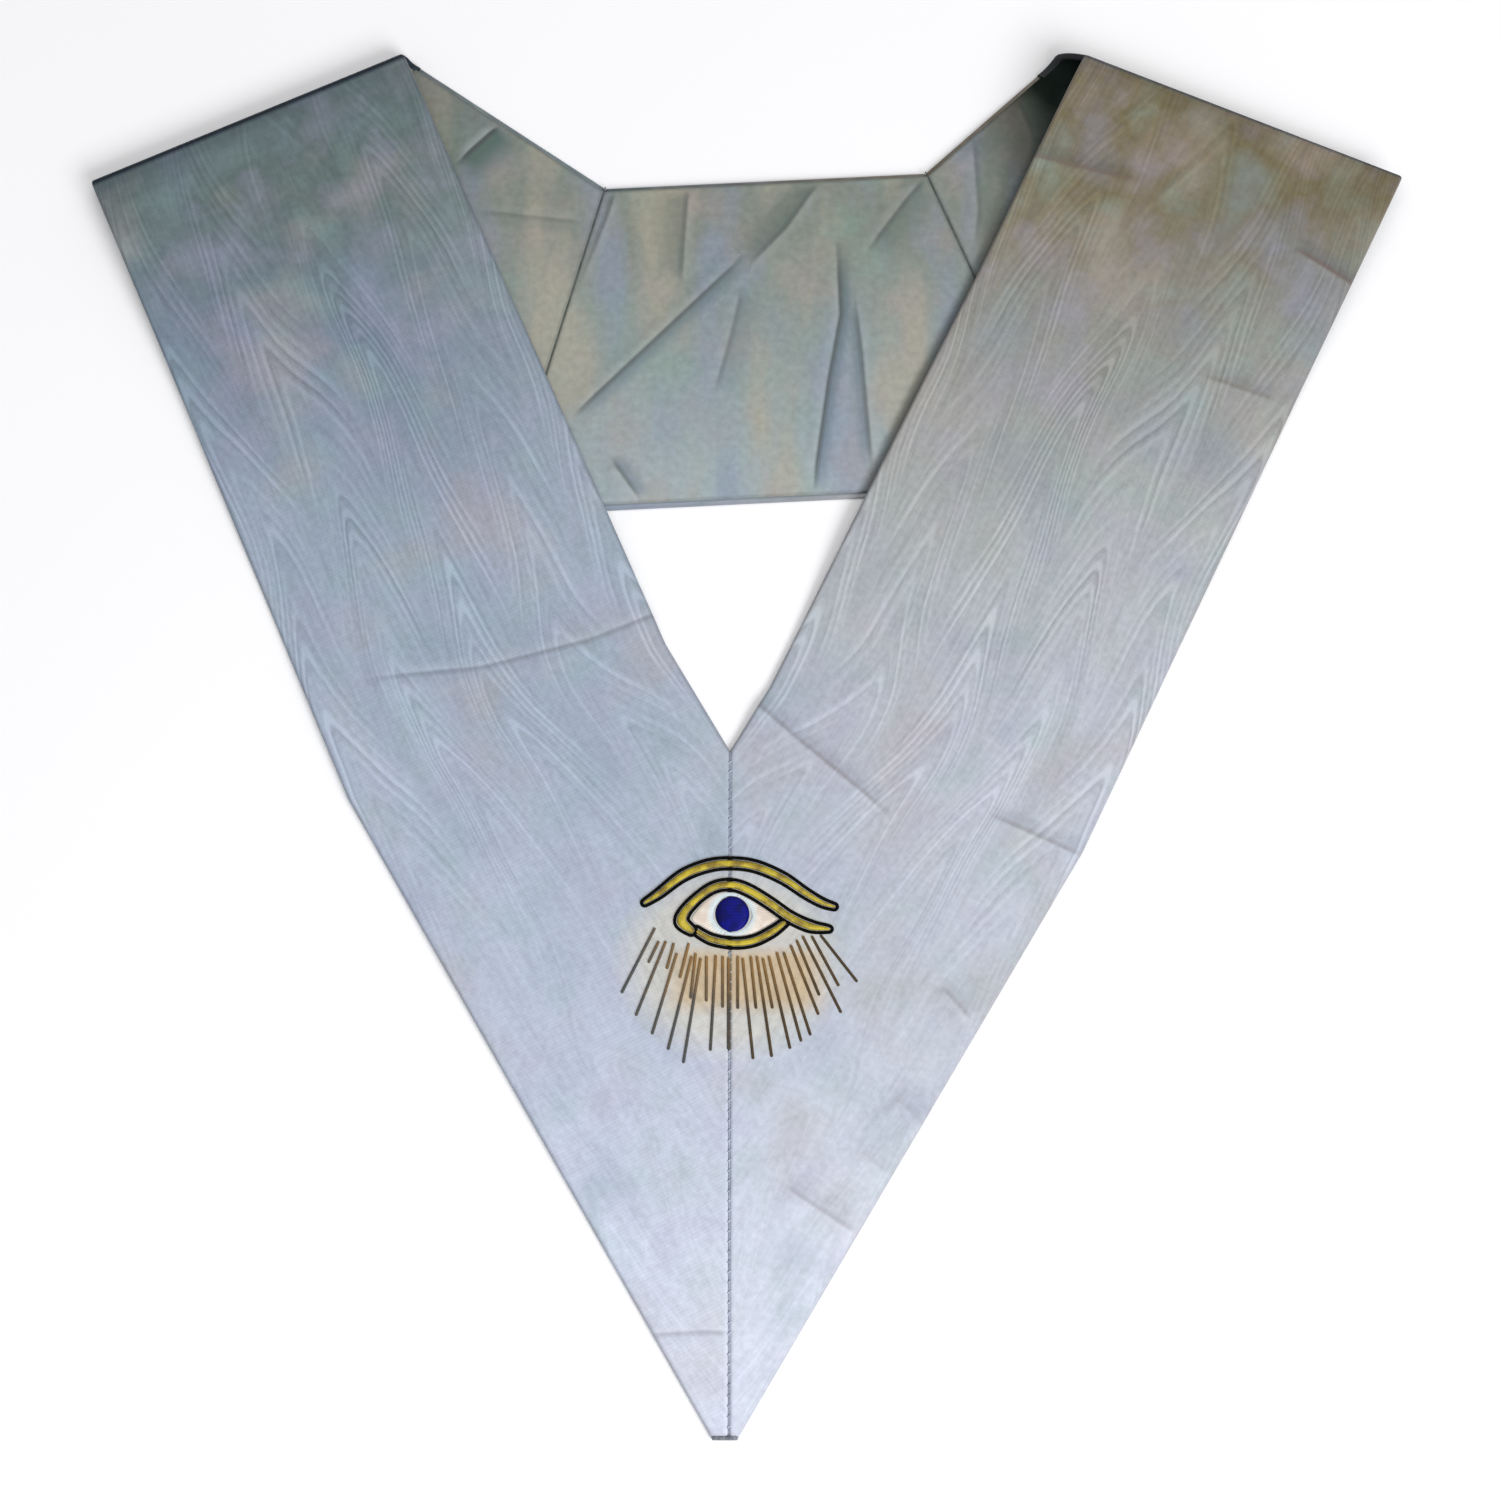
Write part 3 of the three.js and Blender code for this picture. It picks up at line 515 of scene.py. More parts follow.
def front_grids(front, creases):
    """The middle of the cloth from the seam to the fold, and what the maps need to know of it."""
    across = spaced(RIBBON_WIDTH, COLUMN_SPACING, FRONT_THICKNESS / 2) / RIBBON_WIDTH
    lower, upper = arm_plan(front, across)
    origin = np.zeros(2)
    place = np.concatenate([
        ribbon_place(front, lower, front.lower_up, front.lower_out, origin),
        ribbon_place(front, upper, front.upper_up, front.upper_out, front.inner_bend),
    ])
    plan = np.concatenate([lower, upper])
    share = np.broadcast_to(across, plan.shape[:2])
    from_seam = abs(plan[..., 0]) - SEAM_GAP / 2
    lift, crease_map = crease_values(place, creases)
    height = rest_height(front, plan, share) + lift + waves(place, from_seam)
    height = height + FRONT_THICKNESS / 2
    edge = np.minimum(share, 1 - share) * RIBBON_WIDTH
    edge = np.minimum(edge, np.minimum(from_seam, plan[..., 1] + CENTRE_SEAM_LENGTH))
    edge = np.maximum(edge, 0)
    facing = np.zeros(plan.shape[:2] + (3,))
    facing[..., 2] = 1
    return plan, height, facing, edge, place, crease_map, across


# %% Round the fold and back under it
def folded_grids(front, across, fold_start):
    """The same for the rows of the fold, and for the wedge that runs on to the shoulder's seam."""
    plans, heights, facings, places = [], [], [], []
    middle = (loop_height(front, across) + FRONT_THICKNESS) / 2
    for angle in np.linspace(0, 180, FOLD_ROWS + 1):
        plan, height = fold_middle(front, across, angle)
        turn = heading(angle)
        facing = np.concatenate([front.fold_up * turn[1], [turn[0]]])
        plans.append(plan)
        heights.append(height)
        facings.append(np.broadcast_to(facing, (len(across), 3)))
        along = fold_start[:, 1] + middle * math.radians(angle)
        places.append(np.stack((across * RIBBON_WIDTH, along), axis=-1))
    seam_down = away(front.seam_start, front.lower_fold)
    inset = square(seam_down) * (-front.side * SEAM_GAP / 2)
    seam = mix(front.seam_start, front.lower_fold, across) + inset
    for share in np.linspace(0, 1, WEDGE_ROWS + 1)[1:]:
        plan = plans[FOLD_ROWS] * (1 - share) + seam * share
        plans.append(plan)
        heights.append(heights[FOLD_ROWS])
        facings.append(np.broadcast_to((0.0, 0.0, -1.0), (len(across), 3)))
        step = np.linalg.norm(plan - plans[FOLD_ROWS], axis=-1)
        places.append(places[FOLD_ROWS] + np.stack((0 * step, step), axis=-1))
    return [np.array(values) for values in (plans, heights, facings, places)]


# %% The skin of a front
def make_front(name, front, creases, materials):
    """One front. Its map of edges and fold says how far an edge is, and how far round the fold a point
    lies.
    """
    plan, height, facing, edge, place, crease_map, across = front_grids(front, creases)
    row_step = np.linalg.norm(plan[-1, 0] - plan[-2, 0])
    fold_start = place[-1] + np.array((0, row_step))
    folded = folded_grids(front, across, fold_start)
    plan, height, facing, place = (
        np.concatenate(parts) for parts in zip((plan, height, facing, place), folded)
    )
    crease_map = np.concatenate([crease_map, np.zeros(folded[0].shape)])
    side_edge = np.minimum(across, 1 - across) * RIBBON_WIDTH
    edge = np.concatenate([edge, np.broadcast_to(side_edge, folded[0].shape[:2])])
    quarter_turn = (loop_height(front, across) + FRONT_THICKNESS) / 2 * math.pi / 2
    turn = (place[..., 1] - fold_start[:, 1]) / quarter_turn
    middle = np.concatenate([plan, height[..., None]], axis=-1)
    half = FRONT_THICKNESS / 2 * rolled(edge, FRONT_THICKNESS / 2)
    offset = facing * half[..., None]
    side_edge = np.broadcast_to(side_edge, turn.shape)
    maps = dict(ribbon=place, edges_and_fold=np.stack((side_edge, turn), axis=-1), crease=crease_map,
                beside=np.ones(place.shape))
    return cloth_skin(name, middle + offset, middle - offset, maps, materials, edge >= LINING_INSET)


# %% [markdown]
# ## Colours and nodes
#
# Every finish is a small network of nodes, so it stays sharp at any distance and needs no
# pictures. Two helpers serve them all: one turns a screen colour into the linear values that
# light is reckoned in, and one adds a node with its settings and links.

# %% Helpers for materials
# A Mix node for colours takes its share at input 0 and the two colours at inputs 6 and 7.
MIX_COLOURS = dict(out=2, data_type="RGBA")
POSITION = 3


def linear(colour):
    """Turns a screen colour, written as a hex value, into linear red, green, blue and alpha."""
    channels = [int(colour[k:k + 2], 16) / 255 for k in (1, 3, 5)]
    return (*(c / 12.92 if c <= 0.04045 else ((c + 0.055) / 1.055) ** 2.4 for c in channels), 1.0)


def add(material, kind, sockets=None, out=0, **settings):
    """Adds a node with its settings, sets or links its sockets, and gives one of its outputs."""
    tree = material.node_tree
    node = tree.nodes.new(kind)
    for name, value in settings.items():
        setattr(node, name, value)
    for socket, value in (sockets or {}).items():
        if isinstance(value, bpy.types.NodeSocket):
            tree.links.new(value, node.inputs[socket])
        else:
            node.inputs[socket].default_value = linear(value) if isinstance(value, str) else value
    return node.outputs[out]


def set_stops(ramp, low, high, stops):
    """Gives a colour ramp its colours at places between low and high."""
    elements = ramp.node.color_ramp.elements
    while len(elements) < len(stops):
        elements.new(0.5)
    for element, (where, colour) in zip(elements, stops):
        element.position = (where - low) / (high - low)
        element.color = linear(colour)


def new_material(name, **values):
    """A material with one Principled shader, whose plain values are set by socket name."""
    material = bpy.data.materials.new(name)
    material.use_nodes = True
    shader = material.node_tree.nodes["Principled BSDF"]
    for socket, value in values.items():
        shader.inputs[socket.replace("_", " ")].default_value = value
    return material, shader


def connect(material, output, shader, socket):
    material.node_tree.links.new(output, shader.inputs[socket])


print("mid grey on the screen is", round(linear("#808080")[0], 3), "of full light")

# %% Marks of creases, for the ribbon and for the lining
def crease_marks(material, tone, dark, light, shadow, depth):
    """Paints shade along creases: a thin dark line, a thin highlight and a soft shadow, and gives a
    bump.
    """
    from_crease = add(material, "ShaderNodeSeparateXYZ", {
        0: add(material, "ShaderNodeUVMap", uv_map="crease"),
    })
    show = from_crease.node.outputs[1]
    # Where each line starts, is strongest and ends, in metres from the crease
    for start, top, end, hue, most in (
        (0.0000, 0.0012, 0.0130, shadow, 0.62),
        (-0.0006, 0.0004, 0.0018, dark, 0.72),
        (-0.0034, -0.0009, 0.0002, light, 0.12),
    ):
        rise = add(material, "ShaderNodeMapRange", {0: from_crease, 1: start, 2: top, 4: most})
        fall = add(material, "ShaderNodeMapRange", {0: from_crease, 1: end, 2: top})
        share = add(material, "ShaderNodeMath", {0: rise, 1: fall}, operation="MULTIPLY")
        share = add(material, "ShaderNodeMath", {
            0: share, 1: show,
        }, operation="MULTIPLY", use_clamp=True)
        tone = add(material, "ShaderNodeMix", {0: share, 6: tone, 7: hue}, **MIX_COLOURS)
    # The painted highlight, which came last, is raised a little as well
    bump = add(material, "ShaderNodeBump", {"Height": share, "Strength": 0.4, "Distance": depth})
    return tone, bump


# %% [markdown]
# ## Moire ribbon
#
# Moire is ribbed silk or rayon that was folded face to face and run between hot rollers. Where
# the ribs of one layer crossed those of the other they were crushed, and the crushed ribs shine.
# The eye sees nested flames, drawn in fine lines along the ribbon. A picture of them would repeat
# and blur, so they are worked out: the lines are level lines of a slow landscape that is pushed
# back and forth across the ribbon, partly in a regular zigzag and partly at random.

# %% Moire ribbon, calendered: the landscape
FLAME_WIDTH = 0.026
FLAME_LEAN = 0.60
FLAME_HEIGHT = 0.088
FLAME_WANDER = 0.032
DRIFT_HEIGHT = 0.055


def per_metre(*sizes):
    """Turns the sizes of a pattern's patches into how many of them come in a metre."""
    return tuple(1 / size for size in sizes)


moire, moire_shader = new_material(
    "moire ribbon, calendered", Metallic=0.0, IOR=1.5, Sheen_Roughness=0.4,
)
ribbon = add(moire, "ShaderNodeUVMap", uv_map="ribbon")
across = add(moire, "ShaderNodeSeparateXYZ", {0: ribbon})
along = across.node.outputs[1]

# A random landscape, stretched along the ribbon
drift_size = per_metre(0.0227, 0.278, 1)
drift = add(moire, "ShaderNodeVectorMath", {0: ribbon, 1: drift_size}, operation="MULTIPLY")
drift = add(moire, "ShaderNodeTexNoise", {"Vector": drift, "Scale": 1.0, "Detail": 0.6})

# A zigzag across the ribbon, whose edges wander and whose flames are of uneven height
wander = add(moire, "ShaderNodeTexNoise", {"Vector": ribbon, "Scale": 1 / 0.111, "Detail": 1.0})
bent = add(moire, "ShaderNodeMath", {0: wander, 1: FLAME_WANDER, 2: across}, operation="MULTIPLY_ADD")
flame = add(moire, "ShaderNodeMath", {0: bent, 1: FLAME_WIDTH}, operation="DIVIDE")
flame = add(moire, "ShaderNodeMath", {0: flame}, operation="FRACT")
rise = add(moire, "ShaderNodeMath", {0: flame, 1: FLAME_LEAN}, operation="DIVIDE")
rest = add(moire, "ShaderNodeMath", {0: 1.0, 1: flame}, operation="SUBTRACT")
fall = add(moire, "ShaderNodeMath", {0: rest, 1: 1 - FLAME_LEAN}, operation="DIVIDE")
zigzag = add(moire, "ShaderNodeMath", {0: rise, 1: fall, 2: 0.5}, operation="SMOOTH_MIN")
above_valley = add(moire, "ShaderNodeMapRange", {0: zigzag, 1: 0.08, 2: 0.40})
uneven_size = per_metre(0.0455, 0.167, 1)
uneven = add(moire, "ShaderNodeVectorMath", {0: ribbon, 1: uneven_size}, operation="MULTIPLY")
uneven = add(moire, "ShaderNodeTexNoise", {"Vector": uneven, "Scale": 1.0, "Detail": 1.0})
uneven = add(moire, "ShaderNodeMapRange", {0: uneven, 1: 0.32, 2: 0.68, 3: 0.60, 4: 1.25})
zigzag = add(moire, "ShaderNodeMath", {0: zigzag, 1: uneven}, operation="MULTIPLY")
reach = add(moire, "ShaderNodeMath", {0: zigzag, 1: -FLAME_HEIGHT, 2: along}, operation="MULTIPLY_ADD")
reach = add(moire, "ShaderNodeMath", {0: drift, 1: DRIFT_HEIGHT, 2: reach}, operation="MULTIPLY_ADD")
print("flames", FLAME_WIDTH, "wide and up to", FLAME_HEIGHT, "high")

# %% Moire ribbon, calendered: its lines
LINE_PITCH = 0.0125
BESIDE_TURN = 2.1
BELOW_BEND, ABOVE_BEND = -0.06, 0.04

# Each line is a light strand with a faint dark one beside it, and fades out in the valleys
turn = add(moire, "ShaderNodeMath", {0: reach, 1: 2 * math.pi / LINE_PITCH}, operation="MULTIPLY")
strand = add(moire, "ShaderNodeMath", {0: turn}, operation="SINE")
strand = add(moire, "ShaderNodeMapRange", {0: strand, 1: -0.45, 2: 0.8})
dark_strand = add(moire, "ShaderNodeMath", {0: turn, 1: BESIDE_TURN}, operation="ADD")
dark_strand = add(moire, "ShaderNodeMath", {0: dark_strand}, operation="SINE")
dark_strand = add(moire, "ShaderNodeMapRange", {0: dark_strand, 1: 0.3, 2: 1.0, 4: -0.5})
line = add(moire, "ShaderNodeMath", {0: strand, 1: dark_strand}, operation="ADD")

# They come in groups that follow them, were rubbed off below the bend and have worn at the fold
follow = add(moire, "ShaderNodeCombineXYZ", {"X": across, "Y": reach})
group_size = per_metre(0.0333, 0.0238, 1)
follow = add(moire, "ShaderNodeVectorMath", {0: follow, 1: group_size}, operation="MULTIPLY")
group = add(moire, "ShaderNodeTexNoise", {"Vector": follow, "Scale": 1.0, "Detail": 1.5})
group = add(moire, "ShaderNodeMapRange", {0: group, 1: 0.44, 2: 0.60, 3: 0.14})
rubbed_off = add(moire, "ShaderNodeMapRange", {0: along, 1: BELOW_BEND, 2: ABOVE_BEND, 3: 0.22, 4: 1.35})
worn_off = add(moire, "ShaderNodeMapRange", {0: along, 1: 0.14, 2: 0.22, 3: 1.0, 4: 0.55})
for share in (above_valley, group, rubbed_off, worn_off):
    line = add(moire, "ShaderNodeMath", {0: line, 1: share}, operation="MULTIPLY")
print("lines of the figure", LINE_PITCH, "apart, among", len(moire.node_tree.nodes), "nodes so far")

# %% Moire ribbon, calendered: its bands, threads and mottle
# A warp thread is about 0.1 mm wide. It is drawn ten times as wide, as finer ones would not show.
WARP_THREAD = (0.00105, 0.0167, 1)
MOTTLE_GRAIN = 0.00208

soft = add(moire, "ShaderNodeVectorMath", {0: follow, 1: (0.5, 1.0, 1.0)}, operation="MULTIPLY")
soft = add(moire, "ShaderNodeTexNoise", {"Vector": soft, "Scale": 1.0, "Detail": 2.0})
soft = add(moire, "ShaderNodeMapRange", {0: soft, 1: 0.3, 2: 0.7, 3: -0.50, 4: 0.50})
warp = per_metre(*WARP_THREAD)
threads = add(moire, "ShaderNodeVectorMath", {0: ribbon, 1: warp}, operation="MULTIPLY")
threads = add(moire, "ShaderNodeTexNoise", {"Vector": threads, "Scale": 1.0, "Detail": 2.0})
threads = add(moire, "ShaderNodeMapRange", {0: threads, 1: 0.3, 2: 0.7, 3: -0.34, 4: 0.34})
streaks = add(moire, "ShaderNodeMath", {0: soft, 1: threads}, operation="ADD")
calm = add(moire, "ShaderNodeMapRange", {0: along, 1: BELOW_BEND, 2: ABOVE_BEND, 3: 0.55, 4: 1.0})
mottle = add(moire, "ShaderNodeTexNoise", {"Vector": ribbon, "Scale": 1 / MOTTLE_GRAIN, "Detail": 3.0})
mottle = add(moire, "ShaderNodeMapRange", {0: mottle, 1: 0.3, 2: 0.7, 3: -0.38, 4: 0.38})
figure = add(moire, "ShaderNodeMath", {0: streaks, 1: calm, 2: line}, operation="MULTIPLY_ADD")
figure = add(moire, "ShaderNodeMath", {0: figure, 1: mottle}, operation="ADD")
print("the figure takes", len(moire.node_tree.nodes), "nodes")

# %% [markdown]
# ## The ribbon's age and painted shade
#
# Old silk yellows and bleaches in clouds, most where it was handled. Painting that by hand would
# tie it to one mesh, so two rows of colours run from the point up to the folds, one for each
# front, and slow noises lay lilac, green, rose and blue clouds over them. The rows grow darker and
# warmer towards the folds, partly from age and partly as painted shade.

# %% Moire ribbon, calendered: its old colours and painted shade
# Each row has places along Y in the frame, from the point up to the fold, and their colours.
# Their darkening towards the fold is partly age and partly painted shade.
LEFT_TONES = [
    (-0.195, "#c7cfdf"), (-0.090, "#afb8ca"), (0.000, "#99a6b6"),
    (0.058, "#8f9cac"), (0.120, "#6f7e8e"), (0.168, "#556564"),
]
RIGHT_TONES = [
    (-0.195, "#d6dbe6"), (-0.090, "#b5bcc7"), (0.000, "#afb4be"),
    (0.058, "#a0a4a6"), (0.120, "#878781"), (0.168, "#675d40"),
]
TONES_LOW, TONES_HIGH = -0.22, 0.20
CLOUD_SIZE = 0.0192
PATCH_SIZE = 0.0345

position = add(moire, "ShaderNodeTexCoord", out=POSITION)
place_x = add(moire, "ShaderNodeSeparateXYZ", {0: position})
place_y = place_x.node.outputs[1]
height_share = add(moire, "ShaderNodeMapRange", {0: place_y, 1: TONES_LOW, 2: TONES_HIGH})
left_tone = add(moire, "ShaderNodeValToRGB", {0: height_share})
right_tone = add(moire, "ShaderNodeValToRGB", {0: height_share})
set_stops(left_tone, TONES_LOW, TONES_HIGH, LEFT_TONES)
set_stops(right_tone, TONES_LOW, TONES_HIGH, RIGHT_TONES)
right_share = add(moire, "ShaderNodeMapRange", {0: place_x, 1: -0.045, 2: 0.045})
tone = add(moire, "ShaderNodeMix", {0: right_share, 6: left_tone, 7: right_tone}, **MIX_COLOURS)

clouds = add(moire, "ShaderNodeTexNoise", {"Vector": position, "Scale": 1 / CLOUD_SIZE, "Detail": 5.0})
patches = add(moire, "ShaderNodeTexNoise", {"Vector": position, "Scale": 1 / PATCH_SIZE, "Detail": 2.5})
aged = add(moire, "ShaderNodeMapRange", {0: place_y, 1: -0.10, 2: 0.15, 3: 0.72, 4: 0.88})
for noise, start, end, hue, most in (
    (clouds, 0.50, 0.72, "#a19bb8", 0.32),
    (clouds, 0.49, 0.28, "#86a39c", 0.34),
    (patches, 0.52, 0.70, "#ab9c96", 0.34),
    (patches, 0.48, 0.30, "#74869c", 0.30),
):
    share = add(moire, "ShaderNodeMapRange", {0: noise, 1: start, 2: end, 4: most})
    share = add(moire, "ShaderNodeMath", {0: share, 1: aged}, operation="MULTIPLY")
    tone = add(moire, "ShaderNodeMix", {0: share, 6: tone, 7: hue}, **MIX_COLOURS)
print("clouds", CLOUD_SIZE, "wide and patches", PATCH_SIZE, "wide lie over the tones")

# %% Moire ribbon, calendered: stains of the embroidery
# The cloth is cream round the embroidery and tan between the rays.
GLOW_BELOW_APEX = 0.0660
GLOW_EDGE, GLOW_HEART = 0.037, 0.026
FAN_MIDDLE = 0.005

glow_place = (APEX[0] + 0.0002, APEX[1] - GLOW_BELOW_APEX, FRONT_THICKNESS)
glow = add(moire, "ShaderNodeVectorMath", {0: position, 1: glow_place}, operation="SUBTRACT")
glow = add(moire, "ShaderNodeVectorMath", {0: glow, 1: (1.0, 1.15, 0.0)}, operation="MULTIPLY")
glow = add(moire, "ShaderNodeVectorMath", {0: glow}, out="Value", operation="LENGTH")
glow = add(moire, "ShaderNodeMapRange", {0: glow, 1: GLOW_EDGE, 2: GLOW_HEART, 4: 0.62})
tone = add(moire, "ShaderNodeMix", {0: glow, 6: tone, 7: "#cac5b5"}, **MIX_COLOURS)
from_middle = add(moire, "ShaderNodeMath", {0: place_x, 1: -APEX[0] - FAN_MIDDLE}, operation="ADD")
from_middle = add(moire, "ShaderNodeMath", {0: from_middle}, operation="ABSOLUTE")
fan = 0.80
for place, edge, inside in (
    (place_y, APEX[1] - 0.0835, APEX[1] - 0.0775),
    (place_y, APEX[1] - 0.0610, APEX[1] - 0.0650),
    (from_middle, 0.026, 0.018),
):
    share = add(moire, "ShaderNodeMapRange", {0: place, 1: edge, 2: inside})
    fan = add(moire, "ShaderNodeMath", {0: share, 1: fan}, operation="MULTIPLY")
tone = add(moire, "ShaderNodeMix", {0: fan, 6: tone, 7: "#bfa67e"}, **MIX_COLOURS)
print("the cream glow is centred at", glow_place)

# %% Moire ribbon, calendered: faded edges and crushed ribs
# The inner edges, handled most, have faded between the bend and the fold.
inner = add(moire, "ShaderNodeMapRange", {0: across, 1: 0.045, 2: 0.004, 4: 0.26})
above_bend = add(moire, "ShaderNodeMapRange", {0: along, 1: -0.01, 2: 0.05})
below_fold = add(moire, "ShaderNodeMapRange", {0: along, 1: 0.20, 2: 0.13})
for share in (above_bend, below_fold):
    inner = add(moire, "ShaderNodeMath", {0: inner, 1: share}, operation="MULTIPLY")
faded = add(moire, "ShaderNodeMix", {0: right_share, 6: "#a9b2b9", 7: "#a6a5a2"}, **MIX_COLOURS)
tone = add(moire, "ShaderNodeMix", {0: inner, 6: tone, 7: faded}, **MIX_COLOURS)

# Crushed ribs are lighter and shinier, and the ribs between them darker
LOW_FIGURE, HIGH_FIGURE = -1.2, 1.4
lift = add(moire, "ShaderNodeMapRange", {0: figure, 1: LOW_FIGURE, 2: HIGH_FIGURE, 3: 0.78, 4: 1.30})
shade = add(moire, "ShaderNodeCombineColor", {0: lift, 1: lift, 2: lift})
tone = add(moire, "ShaderNodeMix", {0: 1.0, 6: tone, 7: shade}, blend_type="MULTIPLY", **MIX_COLOURS)
print("faded and crushed:", len(moire.node_tree.nodes), "nodes so far")

# %% Moire ribbon, calendered: its painted shade and soil
# Painted shade darkens the edges and the left front below its fold, and darkest of all the
# outermost line of each fold, where soil adds to it. Round the fold, 0 is where it starts, 1 its
# outermost line and 2 the underside. The two fronts differ, so most values do too.
from_edge = add(moire, "ShaderNodeSeparateXYZ", {0: add(moire, "ShaderNodeUVMap", uv_map="edges_and_fold")})
round_fold = from_edge.node.outputs[1]
# Painted shade: a thin dark line within 1.3 mm of the rolled edges.
edge_shade = add(moire, "ShaderNodeMapRange", {0: from_edge, 1: 0.0013, 2: 0.0002, 4: 0.38})
edge_shade_hue = add(moire, "ShaderNodeMix", {0: right_share, 6: "#4d535e", 7: "#6a5f5c"}, **MIX_COLOURS)
tone = add(moire, "ShaderNodeMix", {0: edge_shade, 6: tone, 7: edge_shade_hue}, **MIX_COLOURS)
# Painted shade on the left front just below its fold, where the cloth turns away from the light.
left_only = add(moire, "ShaderNodeMapRange", {0: right_share, 3: 0.32, 4: 0.0})
fold_shade = add(moire, "ShaderNodeMapRange", {0: round_fold, 1: -3.2, 2: 0.2})
fold_shade = add(moire, "ShaderNodeMath", {0: fold_shade, 1: left_only}, operation="MULTIPLY")
tone = add(moire, "ShaderNodeMix", {0: fold_shade, 6: tone, 7: "#3a475b"}, **MIX_COLOURS)

# The fold's dark line is painted shade with some soil; it fades past the outermost line and on the
# underside.
fold_dark_start = add(moire, "ShaderNodeMapRange", {0: right_share, 3: 0.00, 4: 0.30})
fold_dark_end = add(moire, "ShaderNodeMapRange", {0: right_share, 3: 0.28, 4: 0.50})
fold_soil_and_shade = add(moire, "ShaderNodeMapRange", {0: round_fold, 1: fold_dark_start, 2: fold_dark_end})
deepest = add(moire, "ShaderNodeMapRange", {0: right_share, 3: 0.94, 4: 0.88})
at_ends = add(moire, "ShaderNodeMapRange", {0: from_edge, 1: 0.006, 2: 0.002, 3: 0.15, 4: 0.95})
past_fold = add(moire, "ShaderNodeMapRange", {0: round_fold, 1: 0.84, 2: 1.20, 3: 1.0, 4: at_ends})
under = add(moire, "ShaderNodeMapRange", {0: round_fold, 1: 2.0, 2: 3.5, 3: 1.0, 4: 0.1})
for share in (deepest, past_fold, under):
    fold_soil_and_shade = add(moire, "ShaderNodeMath", {0: fold_soil_and_shade, 1: share}, operation="MULTIPLY")
tone = add(moire, "ShaderNodeMix", {0: fold_soil_and_shade, 6: tone, 7: "#161f2d"}, **MIX_COLOURS)
print("soiled:", len(moire.node_tree.nodes), "nodes so far")

# %% Moire ribbon, calendered: its creases, shine and ribs
# Real ribs are about 0.5 mm apart. They are drawn twice as coarse, as finer ones would not show.
RIB_PITCH = 0.0011
RIB_DEPTH = 0.00005
CREASE_DEPTH = 0.0010

# Painted shade and highlight for the creases: a dark line, a soft shadow a little darker than the tone,
# and a light line that is darker higher up.
crease_shade_hue = add(moire, "ShaderNodeMix", {0: right_share, 6: "#626772", 7: "#65554d"}, **MIX_COLOURS)
shadow = add(moire, "ShaderNodeMix", {
    0: 1.0, 6: tone, 7: "#d3d4d9",
}, blend_type="MULTIPLY", **MIX_COLOURS)
high_up = add(moire, "ShaderNodeMapRange", {0: place_y, 1: 0.06, 2: 0.15})
light = add(moire, "ShaderNodeMix", {0: high_up, 6: "#dfe4ee", 7: "#8f8a80"}, **MIX_COLOURS)
tone, crease_bump = crease_marks(moire, tone, crease_shade_hue, light, shadow, CREASE_DEPTH)
connect(moire, tone, moire_shader, "Base Color")
gloss = add(moire, "ShaderNodeMapRange", {0: figure, 1: LOW_FIGURE, 2: HIGH_FIGURE, 3: 0.60, 4: 0.42})
connect(moire, gloss, moire_shader, "Roughness")
shine = add(moire, "ShaderNodeMapRange", {0: fold_soil_and_shade, 3: 0.5, 4: 0.05})
connect(moire, shine, moire_shader, "Specular IOR Level")
fuzz = add(moire, "ShaderNodeMapRange", {0: fold_soil_and_shade, 3: 0.15, 4: 0.0})
connect(moire, fuzz, moire_shader, "Sheen Weight")
ribs = add(moire, "ShaderNodeMath", {0: along, 1: 2 * math.pi / RIB_PITCH}, operation="MULTIPLY")
ribs = add(moire, "ShaderNodeMath", {0: ribs}, operation="SINE")
relief = add(moire, "ShaderNodeMath", {0: figure, 1: 0.35, 2: ribs}, operation="MULTIPLY_ADD")
bump = add(moire, "ShaderNodeBump", {
    "Height": relief, "Strength": 0.16, "Distance": RIB_DEPTH, "Normal": crease_bump,
})
connect(moire, bump, moire_shader, "Normal")
print(moire.name, len(moire.node_tree.nodes), "nodes")

# %% [markdown]
# ## Satin lining
#
# The lining is a rayon satin: long floating threads make it smooth and soft-shining, and one that
# has been worn turns khaki. A single grey would look new, so its colour drifts in broad bands
# between grey-green, sand and a bluish grey, as old cloth does.

# %% Satin lining, woven rayon: its colours
BAND_PITCH = 0.040
STREAK_SIZE = (0.0238, 0.0667, 0.0667)
SATIN_CLOUD = 0.025

satin, satin_shader = new_material(
    "satin lining, woven rayon", Metallic=0.0, IOR=1.5, Roughness=0.45, Sheen_Roughness=0.35,
)
position = add(satin, "ShaderNodeTexCoord", out=POSITION)
place_x = add(satin, "ShaderNodeSeparateXYZ", {0: position})
place_y = place_x.node.outputs[1]
streak_size = per_metre(*STREAK_SIZE)
streaks = add(satin, "ShaderNodeVectorMath", {0: position, 1: streak_size}, operation="MULTIPLY")
streaks = add(satin, "ShaderNodeTexNoise", {"Vector": streaks, "Scale": 1.0, "Detail": 2.5})
bands = add(satin, "ShaderNodeMath", {
    0: place_x, 1: 2 * math.pi / BAND_PITCH, 2: -0.5,
}, operation="MULTIPLY_ADD")
bands = add(satin, "ShaderNodeMath", {0: bands}, operation="SINE")
streaks = add(satin, "ShaderNodeMath", {0: bands, 1: 0.07, 2: streaks}, operation="MULTIPLY_ADD")
clouds = add(satin, "ShaderNodeTexNoise", {"Vector": position, "Scale": 1 / SATIN_CLOUD, "Detail": 3.0})
